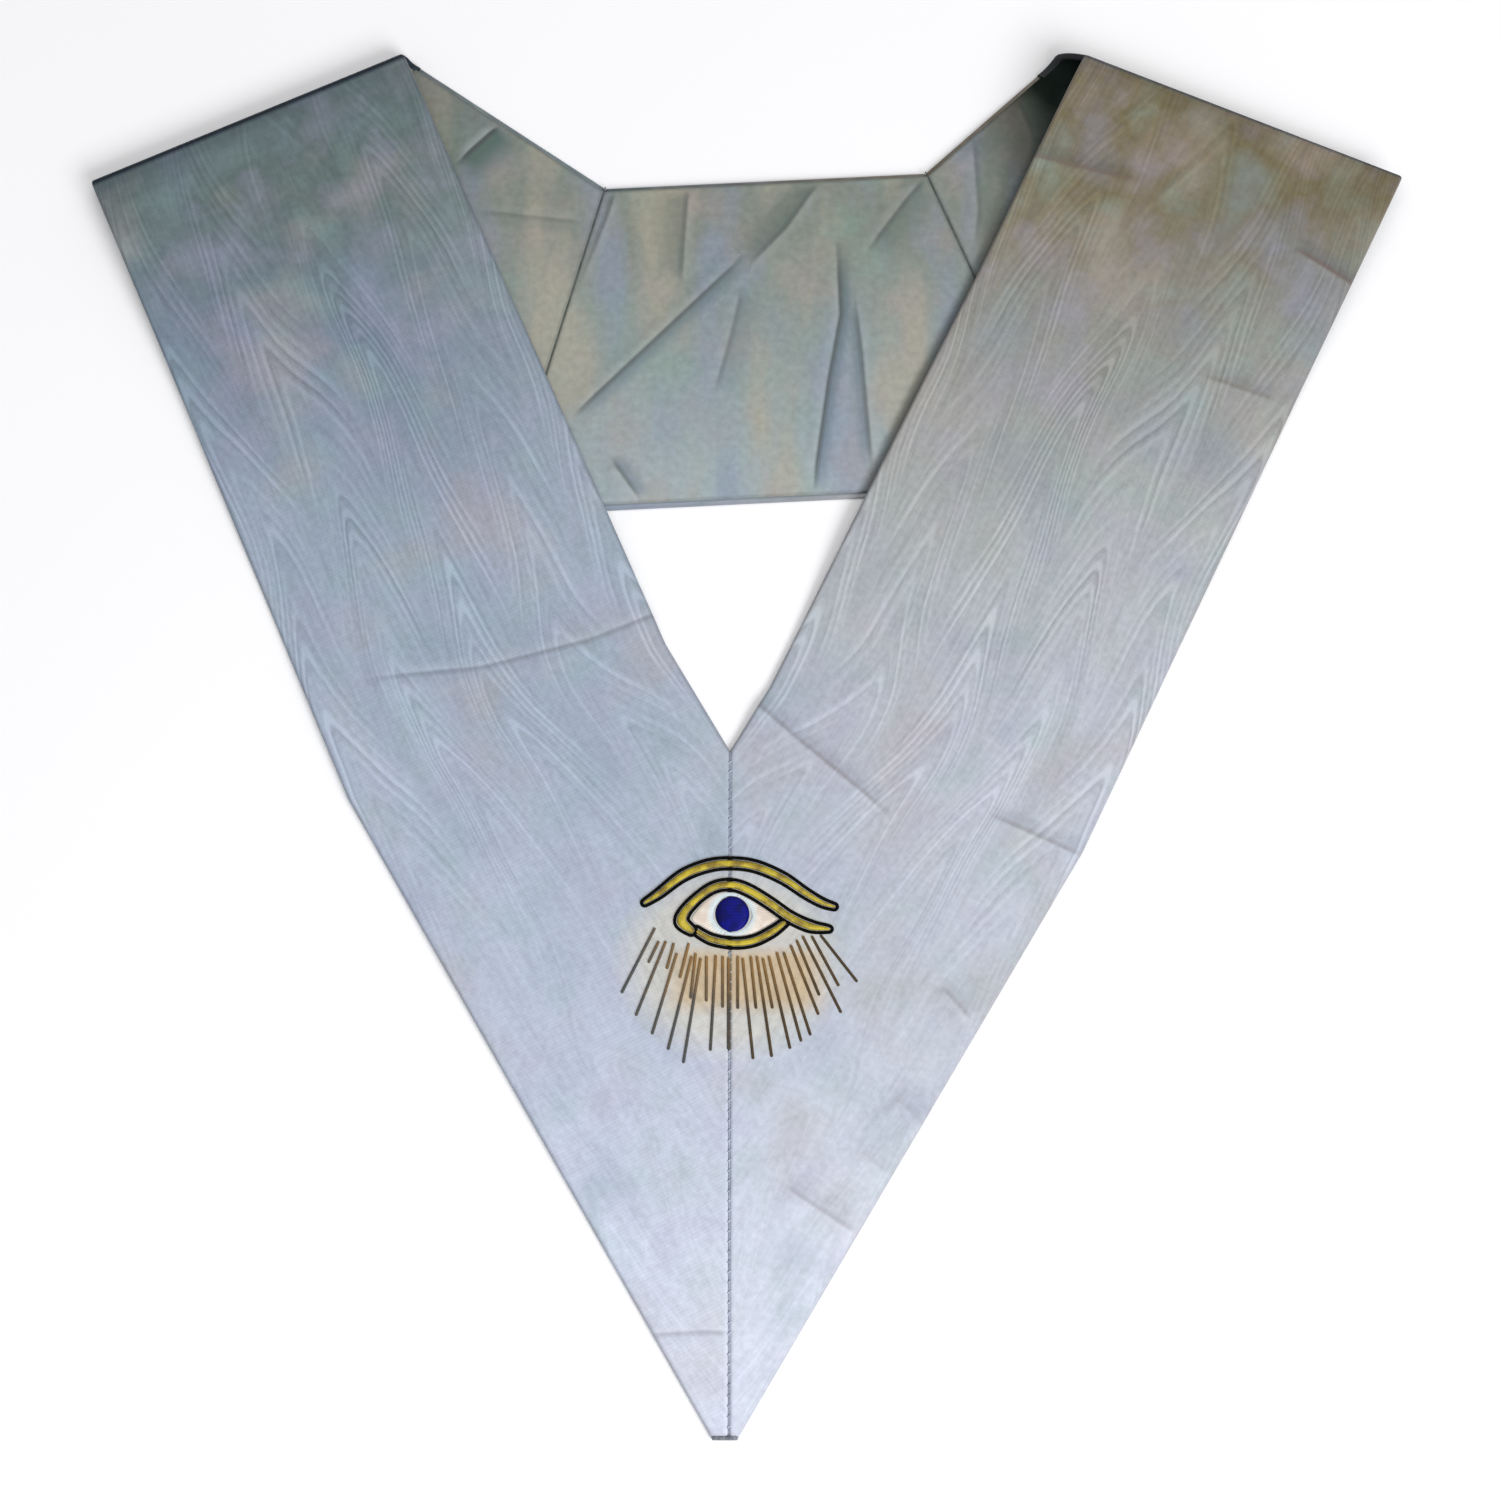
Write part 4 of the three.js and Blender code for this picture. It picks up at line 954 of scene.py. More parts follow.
# Higher up, the lining turns darker and khaki, partly from age and partly as painted shade.
aged_and_shaded = add(satin, "ShaderNodeMapRange", {0: place_y, 1: 0.06, 2: 0.16})
tone = add(satin, "ShaderNodeMix", {0: aged_and_shaded, 6: "#9eacb0", 7: "#7f867d"}, **MIX_COLOURS)
for noise, start, end, hue, most in (
    (streaks, 0.50, 0.64, "#a9a28f", 0.60),
    (streaks, 0.48, 0.34, "#8691a8", 0.54),
    (clouds, 0.52, 0.70, "#a59390", 0.32),
    (clouds, 0.47, 0.30, "#7f9c90", 0.38),
):
    share = add(satin, "ShaderNodeMapRange", {0: noise, 1: start, 2: end, 4: most})
    tone = add(satin, "ShaderNodeMix", {0: share, 6: tone, 7: hue}, **MIX_COLOURS)
print("bands of the lining", BAND_PITCH, "apart")

# %% Satin lining, woven rayon: its painted shade
# Painted shade darkens the hem, and the neck ends of the folds, under the fronts where they rise
# over the lining. Most of it is at the right fold, where the satin also has no shine. A dark line
# of painted shadow lies beside the right front, which stands higher than the lining.
from_edge = add(satin, "ShaderNodeSeparateXYZ", {0: add(satin, "ShaderNodeUVMap", uv_map="edges_and_fold")})
hem_shade = add(satin, "ShaderNodeMapRange", {0: from_edge, 1: 0.0012, 2: 0.0002, 4: 0.45})
tone = add(satin, "ShaderNodeMix", {0: hem_shade, 6: tone, 7: "#4f5450"}, **MIX_COLOURS)
for front, far, close, most, hue in (
    (left, 0.060, 0.010, 0.62, "#566460"),
    (right, 0.055, 0.020, 0.97, "#08150f"),
):
    shadowed = (APEX[0] + front.fold_neck[0], APEX[1] + front.fold_neck[1] + 0.003, LINING_BASE)
    fold_end_shade = add(satin, "ShaderNodeVectorMath", {
        0: position, 1: shadowed,
    }, out="Value", operation="DISTANCE")
    fold_end_shade = add(satin, "ShaderNodeMapRange", {0: fold_end_shade, 1: far, 2: close, 4: most})
    tone = add(satin, "ShaderNodeMix", {0: fold_end_shade, 6: tone, 7: hue}, **MIX_COLOURS)
shine = add(satin, "ShaderNodeMapRange", {0: fold_end_shade, 3: 0.3, 4: 0.02})
connect(satin, shine, satin_shader, "Specular IOR Level")
fuzz = add(satin, "ShaderNodeMapRange", {0: fold_end_shade, 3: 0.06, 4: 0.0})
connect(satin, fuzz, satin_shader, "Sheen Weight")
beside = add(satin, "ShaderNodeSeparateXYZ", {0: add(satin, "ShaderNodeUVMap", uv_map="beside")})
shade = add(satin, "ShaderNodeMapRange", {0: beside, 1: 0.0036, 2: 0.0006, 4: 0.62})
tone = add(satin, "ShaderNodeMix", {0: shade, 6: tone, 7: "#2b3534"}, **MIX_COLOURS)
print("the lining is rubbed darkest at", shadowed)

# %% Satin lining, woven rayon: its mottle, creases and threads
# The floats of satin are about 0.3 mm wide. Their slant shows as faint bands, drawn about ten
# times as coarse, and a fine mottle breaks up the sheen. At scale 1 the diagonal bands of a Wave
# node lie 2 pi / (10 x the square root of 2) apart.
SATIN_GRAIN = 0.00238
TWILL_PITCH = 0.00355
TWILL_DEPTH = 0.00004
LINING_CREASE_DEPTH = 0.0005

mottle = add(satin, "ShaderNodeTexNoise", {"Vector": position, "Scale": 1 / SATIN_GRAIN, "Detail": 3.0})
mottle = add(satin, "ShaderNodeMapRange", {0: mottle, 1: 0.3, 2: 0.7, 3: 0.91, 4: 1.09})
mottle = add(satin, "ShaderNodeCombineColor", {0: mottle, 1: mottle, 2: mottle})
tone = add(satin, "ShaderNodeMix", {0: 1.0, 6: tone, 7: mottle}, blend_type="MULTIPLY", **MIX_COLOURS)
# Painted shade for the creases: a bluish shadow low down that turns green higher up, a dark line, and a
# painted highlight.
shadow = add(satin, "ShaderNodeMix", {0: aged_and_shaded, 6: "#6b7a8f", 7: "#4f625c"}, **MIX_COLOURS)
tone, crease_bump = crease_marks(satin, tone, "#4a5150", "#c3c9c8", shadow, LINING_CREASE_DEPTH)
connect(satin, tone, satin_shader, "Base Color")
twill = add(satin, "ShaderNodeTexWave", {
    "Vector": position, "Scale": 2 * math.pi / (10 * math.sqrt(2) * TWILL_PITCH), "Distortion": 0.4,
    "Detail": 1.0,
}, out="Fac", bands_direction="DIAGONAL")
bump = add(satin, "ShaderNodeBump", {
    "Height": twill, "Strength": 0.25, "Distance": TWILL_DEPTH, "Normal": crease_bump,
})
connect(satin, bump, satin_shader, "Normal")
print(satin.name, len(satin.node_tree.nodes), "nodes")

# %% [markdown]
# ## Both fronts
#
# With the cloths ready, the fronts can be made. The ribbon is on the outside of each, and the
# backing in the lining's satin stops a little short of the edges.

# %% Both fronts
left_front = make_front("moire_front_left", left, LEFT_CREASES, [moire, satin])
right_front = make_front("moire_front_right", right, RIGHT_CREASES, [moire, satin])

# %% [markdown]
# ## The neck part
#
# Each of its three panels is a facing with the moire side down and a lining on top. The lining is
# cut a little smaller, so the edge of the ribbon frames it, and it is loose, so it is the lining
# that creases. Where a front presses on it the creases are flat.

# %% Panels between four corners
NECK_SPACING = 0.0010
PRESSED_MARGIN = 0.008
BORDER_MARGIN = 0.005


def inset_corners(corners, insets):
    """The corners after each edge, from one corner to the next, has moved inwards by its inset."""
    centre = np.mean(corners, axis=0)
    edges = []
    for corner, following, inset in zip(corners, corners[1:] + corners[:1], insets):
        run = away(corner, following)
        inward = square(run)
        if inward @ (centre - corner) < 0:
            inward = -inward
        edges.append((corner + inward * inset, run))
    return [crossing(*edges[k - 1], *edges[k]) for k in range(len(edges))]


def panel_points(corners, u, v):
    """Points at shares along and down between four corners."""
    a, b, c, d = corners
    return mix(mix(a, b, u), mix(d, c, u), v)


def panel_grid(corners, insets, radius):
    """Plan points, how far down and along each one lies, and its distance from each of four edges.

    Edge 0 is the neck edge, and edge 2 the one opposite.
    """
    inner = inset_corners(corners, insets)
    length = np.linalg.norm(inner[1] - inner[0])
    depth = np.linalg.norm(inner[3] - inner[0])
    u, v = np.meshgrid(spaced(length, NECK_SPACING, radius) / length,
                       spaced(depth, NECK_SPACING, radius) / depth)
    plan = panel_points(inner, u, v)
    edges = [segment_distance(plan, inner[k], inner[(k + 1) % 4]) for k in range(4)]
    return plan, np.stack((v * depth, u * length), axis=-1), edges


# %% The skin of a panel
FAR_FROM_FOLD = -9.0


def panel_skin(name, plan, height, edges, open_edges, thickness, maps, material):
    """A panel with its middle at a height. Open edges run on under a front and aren't turned over."""
    turned = np.min([edges[k] for k in range(4) if k not in open_edges], axis=0)
    half = thickness / 2 * rolled(turned, thickness / 2)
    top, bottom = (
        np.concatenate([plan, (height + way * half)[..., None]], axis=-1) for way in (1, -1)
    )
    edge = np.min(edges, axis=0)
    edges_and_fold = np.stack((edge, np.full(edge.shape, FAR_FROM_FOLD)), axis=-1)
    return cloth_skin(name, top, bottom, dict(maps, edges_and_fold=edges_and_fold), [material], edge < 0)


# %% Facings
def make_facing(name, corners, open_edges):
    seam = SEAM_GAP / 2
    plan, ribbon, edges = panel_grid(corners, [0, seam, 0, seam], FACING_THICKNESS / 2)
    maps = dict(ribbon=ribbon, crease=np.zeros(plan.shape), beside=np.ones(plan.shape))
    return panel_skin(
        name, plan, FACING_THICKNESS / 2, edges, open_edges, FACING_THICKNESS, maps, moire
    )


left_facing = make_facing("moire_facing_left_shoulder", left_shoulder, [3])
back_facing = make_facing("moire_facing_back", back_band, [])
right_facing = make_facing("moire_facing_right_shoulder", right_shoulder, [1])

# %% Creases of the lining
# Here a path is shares of the panel: along the neck edge, and down from it. A fold with a long
# reach has a soft bluish shadow on its steep side.
BACK_CREASES = [
    dict(path=[(0.05, 0.77), (0.40, 0.27), (0.46, 0.185)],
         height=0.0008, gentle=0.0050, steep=0.0035, mark=1.1),
    dict(path=[(0.36, 0.68), (0.39, 0.52), (0.415, 0.38), (0.42, 0.32)],
         height=0.0004, gentle=0.0100, steep=0.0050, mark=0.6, reach=0.008),
    dict(path=[(0.72, -0.04), (0.55, 0.16), (0.43, 0.29)],
         height=0.0005, gentle=0.0080, steep=0.0050, mark=0.9, reach=0.010),
    dict(path=[(0.54, 1.06), (0.555, 0.90), (0.60, 0.64), (0.65, 0.44), (0.685, 0.16)],
         height=0.0006, gentle=0.0100, steep=0.0070, mark=1.2, reach=0.0038),
    dict(path=[(0.70, 0.34), (0.685, 0.56), (0.665, 0.82), (0.655, 1.06)],
         height=0.0005, gentle=0.0090, steep=0.0060, mark=0.9, reach=0.0036),
    dict(path=[(0.74, 0.26), (0.80, 0.19), (0.90, 0.09), (1.04, -0.02)],
         height=0.0006, gentle=0.0070, steep=0.0040, mark=0.9, reach=0.010),
    dict(path=[(0.262, -0.04), (0.267, 0.14), (0.274, 0.34)],
         height=0.0003, gentle=0.0080, steep=0.0060, mark=0.8, reach=0.012),
    dict(path=[(0.26, 1.08), (0.24, 0.98), (0.19, 0.88), (0.17, 0.84)],
         height=0.0010, gentle=0.0050, steep=0.0030, mark=0.9),
    dict(path=[(0.055, -0.30), (0.035, 0.10), (0.005, 0.42)],
         height=0.0002, gentle=0.0050, steep=0.0040, mark=1.1, reach=0.006),
]
LEFT_SHOULDER_CREASES = [
    dict(path=[(0.39, 0.28), (0.42, 0.17), (0.48, -0.10)],
         height=0.0010, gentle=0.0090, steep=0.0040, mark=2.0, reach=0.010),
    dict(path=[(0.48, 0.30), (0.60, 0.27), (0.87, 0.16), (1.00, 0.11)],
         height=0.0006, gentle=0.0090, steep=0.0030, mark=0.5),
]
RIGHT_SHOULDER_CREASES = [
    dict(path=[(0.04, 0.28), (0.16, 0.20), (0.35, 0.04), (0.44, -0.04)],
         height=0.0005, gentle=0.0070, steep=0.0035, mark=0.6, reach=0.008),
    dict(path=[(0.55, 0.22), (0.66, 0.12), (0.84, -0.03)],
         height=0.0005, gentle=0.0070, steep=0.0035, mark=0.5, reach=0.008),
]


def plan_creases(corners, creases):
    """The same creases with their paths in the plan."""
    return [
        {**crease, "path": panel_points(corners, *np.array(crease["path"]).T)} for crease in creases
    ]


print(len(BACK_CREASES), "creases across the back of the neck")

# %% Linings
PILLOW_HEIGHT = 0.0003
PILLOW_MARGIN = 0.02


def make_lining(name, corners, creases, open_edges):
    seam = SEAM_GAP / 2
    insets = [LINING_INSET, seam, LINING_INSET, seam]
    for k in open_edges:
        insets[k] = 0
    plan, ribbon, edges = panel_grid(corners, insets, LINING_THICKNESS / 2)
    edge = np.min(edges, axis=0)
    from_left, from_right = ((front.inner_bend - plan) @ front.upper_out for front in (left, right))
    free = smooth(np.minimum(from_left, from_right) / PRESSED_MARGIN) * smooth(edge / BORDER_MARGIN)
    lift, crease_map = crease_values(plan, plan_creases(corners, creases))
    crease_map[..., 1] *= free
    pillow = PILLOW_HEIGHT * smooth(edge / PILLOW_MARGIN)
    height = LINING_BASE + LINING_THICKNESS / 2 + free * (lift + pillow)
    maps = dict(ribbon=ribbon, crease=crease_map, beside=np.stack((from_right, from_right), axis=-1))
    return panel_skin(name, plan, height, edges, open_edges, LINING_THICKNESS, maps, satin)


left_lining = make_lining("satin_lining_left_shoulder", left_shoulder, LEFT_SHOULDER_CREASES, [3])
back_lining = make_lining("satin_lining_back", back_band, BACK_CREASES, [])
right_lining = make_lining(
    "satin_lining_right_shoulder", right_shoulder, RIGHT_SHOULDER_CREASES, [1]
)

# %% [markdown]
# ## Embroidery thread
#
# The eye is worked by machine in glossy rayon thread. Thread is many fine filaments laid side by
# side, so it shines across its length, and a worked band looks like a row of small bars. The
# sewing threads are cotton, whose short loose fibres make it dull. All of them share one recipe
# with other colours, because they differ in little else.

# %% Rayon and cotton threads
# A filament is about 0.02 mm wide. It is drawn twenty times as wide, as finer ones don't show.
FILAMENT_WIDTH = 0.000385
FILAMENT_DEPTH = 0.00003


def thread_material(name, light_colour, dark_colour, roughness, shine, patch):
    """Thread whose colour drifts between two tones, in patches of a size in metres.

    Light is caught between the filaments of a deep dyed thread, so it is given little shine.
    """
    material, shader = new_material(
        name, Metallic=0.0, IOR=1.5, Roughness=roughness, Specular_IOR_Level=shine,
    )
    position = add(material, "ShaderNodeTexCoord", out=POSITION)
    uneven = add(material, "ShaderNodeTexNoise", {
        "Vector": position, "Scale": 1 / patch, "Detail": 3.0,
    })
    uneven = add(material, "ShaderNodeMapRange", {0: uneven, 1: 0.38, 2: 0.62})
    tone = add(material, "ShaderNodeMix", {0: uneven, 6: dark_colour, 7: light_colour}, **MIX_COLOURS)
    connect(material, tone, shader, "Base Color")
    filaments = add(material, "ShaderNodeTexNoise", {
        "Vector": position, "Scale": 1 / FILAMENT_WIDTH, "Detail": 2.0,
    })
    bump = add(material, "ShaderNodeBump", {
        "Height": filaments, "Strength": 0.2, "Distance": FILAMENT_DEPTH,
    })
    connect(material, bump, shader, "Normal")
    print(name, "changes its tone every", patch)
    return material, shader, tone


gold = thread_material("gold thread, rayon", "#c6b228", "#87711a", 0.38, 0.5, 0.00385)[0]
black = thread_material("black thread, rayon", "#0d0b07", "#050403", 0.7, 0.06, 0.0025)[0]
blue = thread_material("navy thread, rayon", "#050a78", "#02054c", 0.5, 0.15, 0.00333)[0]
seam_grey = thread_material("grey sewing thread, cotton", "#bdc4d1", "#9aa2b2", 0.7, 0.4, 0.002)[0]
tip_grey = thread_material("dark sewing thread, cotton", "#8b9099", "#5d626b", 0.7, 0.4, 0.00143)[0]
lining_green = thread_material(
    "green-grey sewing thread, cotton", "#626b67", "#464f4c", 0.7, 0.4, 0.00333,
)[0]

# %% White thread, bluish next to the iris
IRIS_RADIUS = 0.0055
EMBLEM_PLACE = np.array((0.0008, -0.0515))
EMBROIDERY_TOP = 0.0024

white, white_shader, white_tone = thread_material(
    "white thread, rayon", "#ece2d6", "#d8cabb", 0.5, 0.4, 0.00333,
)
position = add(white, "ShaderNodeTexCoord", out=POSITION)
iris_centre = (APEX[0] + EMBLEM_PLACE[0], APEX[1] + EMBLEM_PLACE[1], EMBROIDERY_TOP)
halo = add(white, "ShaderNodeVectorMath", {
    0: position, 1: iris_centre,
}, out="Value", operation="DISTANCE")
halo = add(white, "ShaderNodeMapRange", {0: halo, 1: 0.0082, 2: 0.0060, 4: 0.75})
white_tone = add(white, "ShaderNodeMix", {0: halo, 6: white_tone, 7: "#c4e0ea"}, **MIX_COLOURS)
connect(white, white_tone, white_shader, "Base Color")
print("the white turns bluish round", iris_centre)

# %% [markdown]
# ## Bands of stitches
#
# Single stitches could be hundreds of small tubes. One closed skin with a groove between the
# stitches looks the same and is far lighter: it follows a path, rounds over a padding, and rises
# and falls once for every thread.

# %% Paths for the needle
EMBLEM_WIDTH = 0.0615
OUTLINE_WIDTH = 0.0011
STITCH_SINK = 0.0001
STITCH_BASE = FRONT_THICKNESS - STITCH_SINK
STITCH_PITCH = 0.00045
STEPS_PER_STITCH = 5


def table_points(rows):
    """The points and half widths of a table, in metres."""
    points = np.array([(row["x"], row["y"]) for row in rows]) * EMBLEM_WIDTH
    return points, np.array([row["width"] for row in rows]) * EMBLEM_WIDTH / 2


def through(values, shares):
    """A smooth curve through evenly spaced values, read at shares of its length."""
    last = len(values) - 1
    place = np.clip(shares, 0, 1) * last
    k = np.minimum(place.astype(int), last - 1)
    t = (place - k)[:, None]
    p0, p1 = values[np.maximum(k - 1, 0)], values[k]
    p2, p3 = values[k + 1], values[np.minimum(k + 2, last)]
    v0, v1 = (p2 - p0) / 2, (p3 - p1) / 2
    cubic = (2 * p1 - 2 * p2 + v0 + v1) * t ** 3
    return cubic + (-3 * p1 + 3 * p2 - 2 * v0 - v1) * t ** 2 + v0 * t + p1


def even_steps(path, closed=False):
    """The path again, with a whole number of stitches and even steps."""
    if closed:
        path = np.concatenate([path, path[:1]])
    travel = np.concatenate([[0], np.cumsum(np.linalg.norm(np.diff(path, axis=0), axis=1))])
    stitches = max(2, round(travel[-1] / STITCH_PITCH))
    steps = np.linspace(0, travel[-1], stitches * STEPS_PER_STITCH + 1)
    if closed:
        steps = steps[:-1]
    return np.stack([np.interp(steps, travel, path[:, k]) for k in (0, 1)], axis=-1), steps, travel[-1]


def tangents(path, closed):
    """The direction of the path at each of its points."""
    if closed:
        run = np.roll(path, -1, axis=0) - np.roll(path, 1, axis=0)
    else:
        run = np.gradient(path, axis=0)
    return run / np.linalg.norm(run, axis=1)[:, None]


print("10 mm of needlework is", len(even_steps(np.array([(0, 0), (0.01, 0)]))[0]), "steps")

# %% A skin of stitches along a path
THREAD_RELIEF = 0.00013
SIDE_RELIEF = 0.4
BAND_COLUMNS = 9
PAD_ROUNDNESS = 2.6
PAD_RISE = 1.6
LEAST_REACH = 0.00003


def stitch_skin(path, sides, half_width, phase, height, closed):
    """Points and faces of a padded band. Its stitches run across the path, one for each phase."""
    a = np.linspace(-1, 1, BAND_COLUMNS)
    thread = abs(np.sin(math.pi * phase))[:, None] * np.ones_like(a)
    swell = np.sqrt(1 - abs(a) ** PAD_ROUNDNESS)
    reach = half_width[:, None] + THREAD_RELIEF * SIDE_RELIEF * (thread - 0.5)
    plan = path[:, None] + sides[:, None] * (a * np.maximum(reach, LEAST_REACH))[..., None]
    rise = np.minimum(1, half_width / np.max(half_width) * PAD_RISE)[:, None]
    z = STITCH_BASE + swell * (height * rise + THREAD_RELIEF * thread)
    points = np.concatenate([plan, z[..., None]], axis=-1)
    rows = len(path)
    numbers = np.arange(rows * BAND_COLUMNS).reshape(rows, BAND_COLUMNS)
    loop = np.concatenate([numbers, numbers[:, :1]], axis=1)
    if closed:
        loop = np.concatenate([loop, loop[:1]])
    faces = grid_quads(loop).tolist()
    if not closed:
        faces += [numbers[0].tolist(), numbers[-1][::-1].tolist()]
    return points.reshape(-1, 3), faces


# %% Bands joined into one piece
def join_skins(name, skins, material):
    """One piece of embroidery from its bands, at the emblem's place."""
    points, faces, start = [], [], 0
    for skin_points, skin_faces in skins:
        points.append(skin_points)
        faces += [[k + start for k in face] for face in skin_faces]
        start += len(skin_points)
    points = np.concatenate(points)
    points[:, :2] += APEX + EMBLEM_PLACE
    quads = np.array([face for face in faces if len(face) == 4])
    if signed_volume(points, quads) < 0:
        faces = [face[::-1] for face in faces]
    piece = new_mesh_object(name, points, faces)
    piece.data.materials.append(material)
    piece.data.polygons.foreach_set("use_smooth", np.ones(len(faces), dtype=bool))
    print(name, len(faces), "faces")
    return piece


# %% Bands along open and closed paths
NARROWEST = 0.0001


def open_band(path, half_width, height):
    """A band with round ends, along an open path. half_width is one value or one per point."""
    half_width = np.broadcast_to(half_width, len(path))
    first, last = tangents(path, False)[[0, -1]]
    path = np.concatenate([
        [path[0] - first * half_width[0]], path, [path[-1] + last * half_width[-1]],
    ])
    half_width = np.concatenate([half_width[:1], half_width, half_width[-1:]])
    raw = np.concatenate([[0], np.cumsum(np.linalg.norm(np.diff(path, axis=0), axis=1))])
    steps_path, steps, length = even_steps(path)
    width = np.interp(steps, raw, half_width)
    from_end = np.minimum(steps, length - steps)
    width = width * rolled(from_end, np.maximum(width, NARROWEST))
    sides = square(tangents(steps_path, False))
    return stitch_skin(steps_path, sides, width, steps / STITCH_PITCH, height, False)


def closed_band(path, half_width, height):
    path, steps, length = even_steps(path, closed=True)
    turns = round(length / STITCH_PITCH) / length
    sides = square(tangents(path, True))
    return stitch_skin(path, sides, np.full(len(path), half_width), steps * turns, height, True)


# %% [markdown]
# ## The eye
#
# The brow and the lids are gold bands with a black line round them. A drawn curve object would do
# for one of them, but here a band is kept as a middle line with widths, in a short table, so that
# its outline can run round it at a set distance.

# %% Tables of the brow and the lids
# x and y are from the middle of the iris, and width is the gold, all as shares of the emblem's
# width.
BROW = [
    dict(x=-0.438, y=0.057, width=0.012),
    dict(x=-0.37, y=0.102, width=0.026),
    dict(x=-0.25, y=0.194, width=0.036),
    dict(x=-0.13, y=0.243, width=0.038),
    dict(x=-0.02, y=0.257, width=0.036),
    dict(x=0.11, y=0.243, width=0.036),
    dict(x=0.25, y=0.184, width=0.034),
    dict(x=0.37, y=0.103, width=0.028),
    dict(x=0.45, y=0.057, width=0.022),
    dict(x=0.51, y=0.037, width=0.012),
]
UPPER_LID = [
    dict(x=-0.205, y=-0.083, width=0.03),
    dict(x=-0.252, y=-0.04, width=0.05),
    dict(x=-0.235, y=0.015, width=0.036),
    dict(x=-0.165, y=0.088, width=0.03),
    dict(x=-0.085, y=0.138, width=0.032),
    dict(x=0, y=0.147, width=0.034),
    dict(x=0.085, y=0.118, width=0.036),
    dict(x=0.19, y=0.053, width=0.036),
    dict(x=0.29, y=-0.017, width=0.036),
    dict(x=0.39, y=-0.062, width=0.036),
    dict(x=0.483, y=-0.076, width=0.012),
]
LOWER_LID = [
    dict(x=-0.18, y=-0.085, width=0.024),
    dict(x=-0.1, y=-0.129, width=0.03),
    dict(x=0.01, y=-0.147, width=0.03),
    dict(x=0.11, y=-0.134, width=0.03),
    dict(x=0.2, y=-0.089, width=0.03),
    dict(x=0.265, y=-0.04, width=0.02),
]
print(len(BROW), len(UPPER_LID), "and", len(LOWER_LID), "points")

# %% Curves and outlines of the brow and the lids
CURVE_STEPS = 160
CAP_STEPS = 12
THREAD_GAP = LAYER_GAP / 3
LINE_GAP = THREAD_GAP + OUTLINE_WIDTH / 2


def band_curve(rows):
    points, half = table_points(rows)
    shares = np.linspace(0, 1, CURVE_STEPS)
    return through(points, shares), np.interp(shares * (len(rows) - 1), np.arange(len(rows)), half)


def outline_path(curve, half_width, gap):
    """A closed path round a band, at a gap from its edge, with round ends."""
    run = tangents(curve, False)
    side = square(run)
    reach = (half_width + gap)[:, None]
    turns = np.linspace(0, math.pi, CAP_STEPS)[1:-1, None]
    end_cap = curve[-1] + reach[-1] * (np.cos(turns) * side[-1] + np.sin(turns) * run[-1])
    start_cap = curve[0] + reach[0] * (-np.cos(turns) * side[0] - np.sin(turns) * run[0])
    return np.concatenate([curve + side * reach, end_cap, (curve - side * reach)[::-1], start_cap])


brow_curve, brow_half = band_curve(BROW)
upper_curve, upper_half = band_curve(UPPER_LID)
lower_curve, lower_half = band_curve(LOWER_LID)
brow_path = outline_path(brow_curve, brow_half, LINE_GAP)
upper_path = outline_path(upper_curve, upper_half, LINE_GAP)
lower_path = outline_path(lower_curve, lower_half, LINE_GAP)
print("the brow's outline has", len(brow_path), "points")

# %% Where the lower lid meets the upper one
LEAST_POINTS = 12


def beyond_upper(points, gap):
    """Which points lie outside the upper lid's band by more than a gap."""
    distance = np.linalg.norm(points[:, None] - upper_curve[None], axis=-1)
    nearest = distance.argmin(axis=1)
    return distance[np.arange(len(points)), nearest] > upper_half[nearest] + gap


def longest_runs(path, keep, least):
    """The stretches of a closed path that are kept, each at least so many points long."""
    start = int(np.argmin(keep))
    path, keep = np.roll(path, -start, axis=0), np.roll(keep, -start)
    breaks = np.flatnonzero(np.diff(keep.astype(int))) + 1
    parts = zip(np.split(path, breaks), np.split(keep, breaks))
    return [part for part, kept in parts if kept[0] and len(part) >= least]


lower_dense = even_steps(lower_path, closed=True)[0]
lower_lines = longest_runs(lower_dense, beyond_upper(lower_dense, LINE_GAP), LEAST_POINTS)
lower_kept = beyond_upper(lower_curve, LINE_GAP + OUTLINE_WIDTH / 2 + THREAD_GAP)
print("the lower lid's line is in", len(lower_lines), "stretches")

# %% Brow and lids
GOLD_HEIGHT = 0.0007
LINE_HEIGHT = 0.0006

brow_outline = join_skins("brow_outline_stitches", [
    closed_band(brow_path, OUTLINE_WIDTH / 2, LINE_HEIGHT),
], black)
brow_fill = join_skins("brow_gold_stitches", [open_band(brow_curve, brow_half, GOLD_HEIGHT)], gold)
lid_outline = join_skins("lid_outline_stitches", [
    closed_band(upper_path, OUTLINE_WIDTH / 2, LINE_HEIGHT),
    *(open_band(line, OUTLINE_WIDTH / 2, LINE_HEIGHT) for line in lower_lines),
], black)
upper_lid = join_skins("upper_lid_gold_stitches", [
    open_band(upper_curve, upper_half, GOLD_HEIGHT),
], gold)
lower_lid = join_skins("lower_lid_gold_stitches", [
    open_band(lower_curve[lower_kept], lower_half[lower_kept], GOLD_HEIGHT),
], gold)

# %% [markdown]
# ## Iris and white
#
# The iris is filled with stitches laid side by side across the disc, so each one is as long as
# the disc is wide there. The white is a ring round it that reaches out to the lids. Rather than
# draw its outline by hand, lines are sent out from the middle until they meet a lid.

# %% Iris
IRIS_HEIGHT = 0.0008

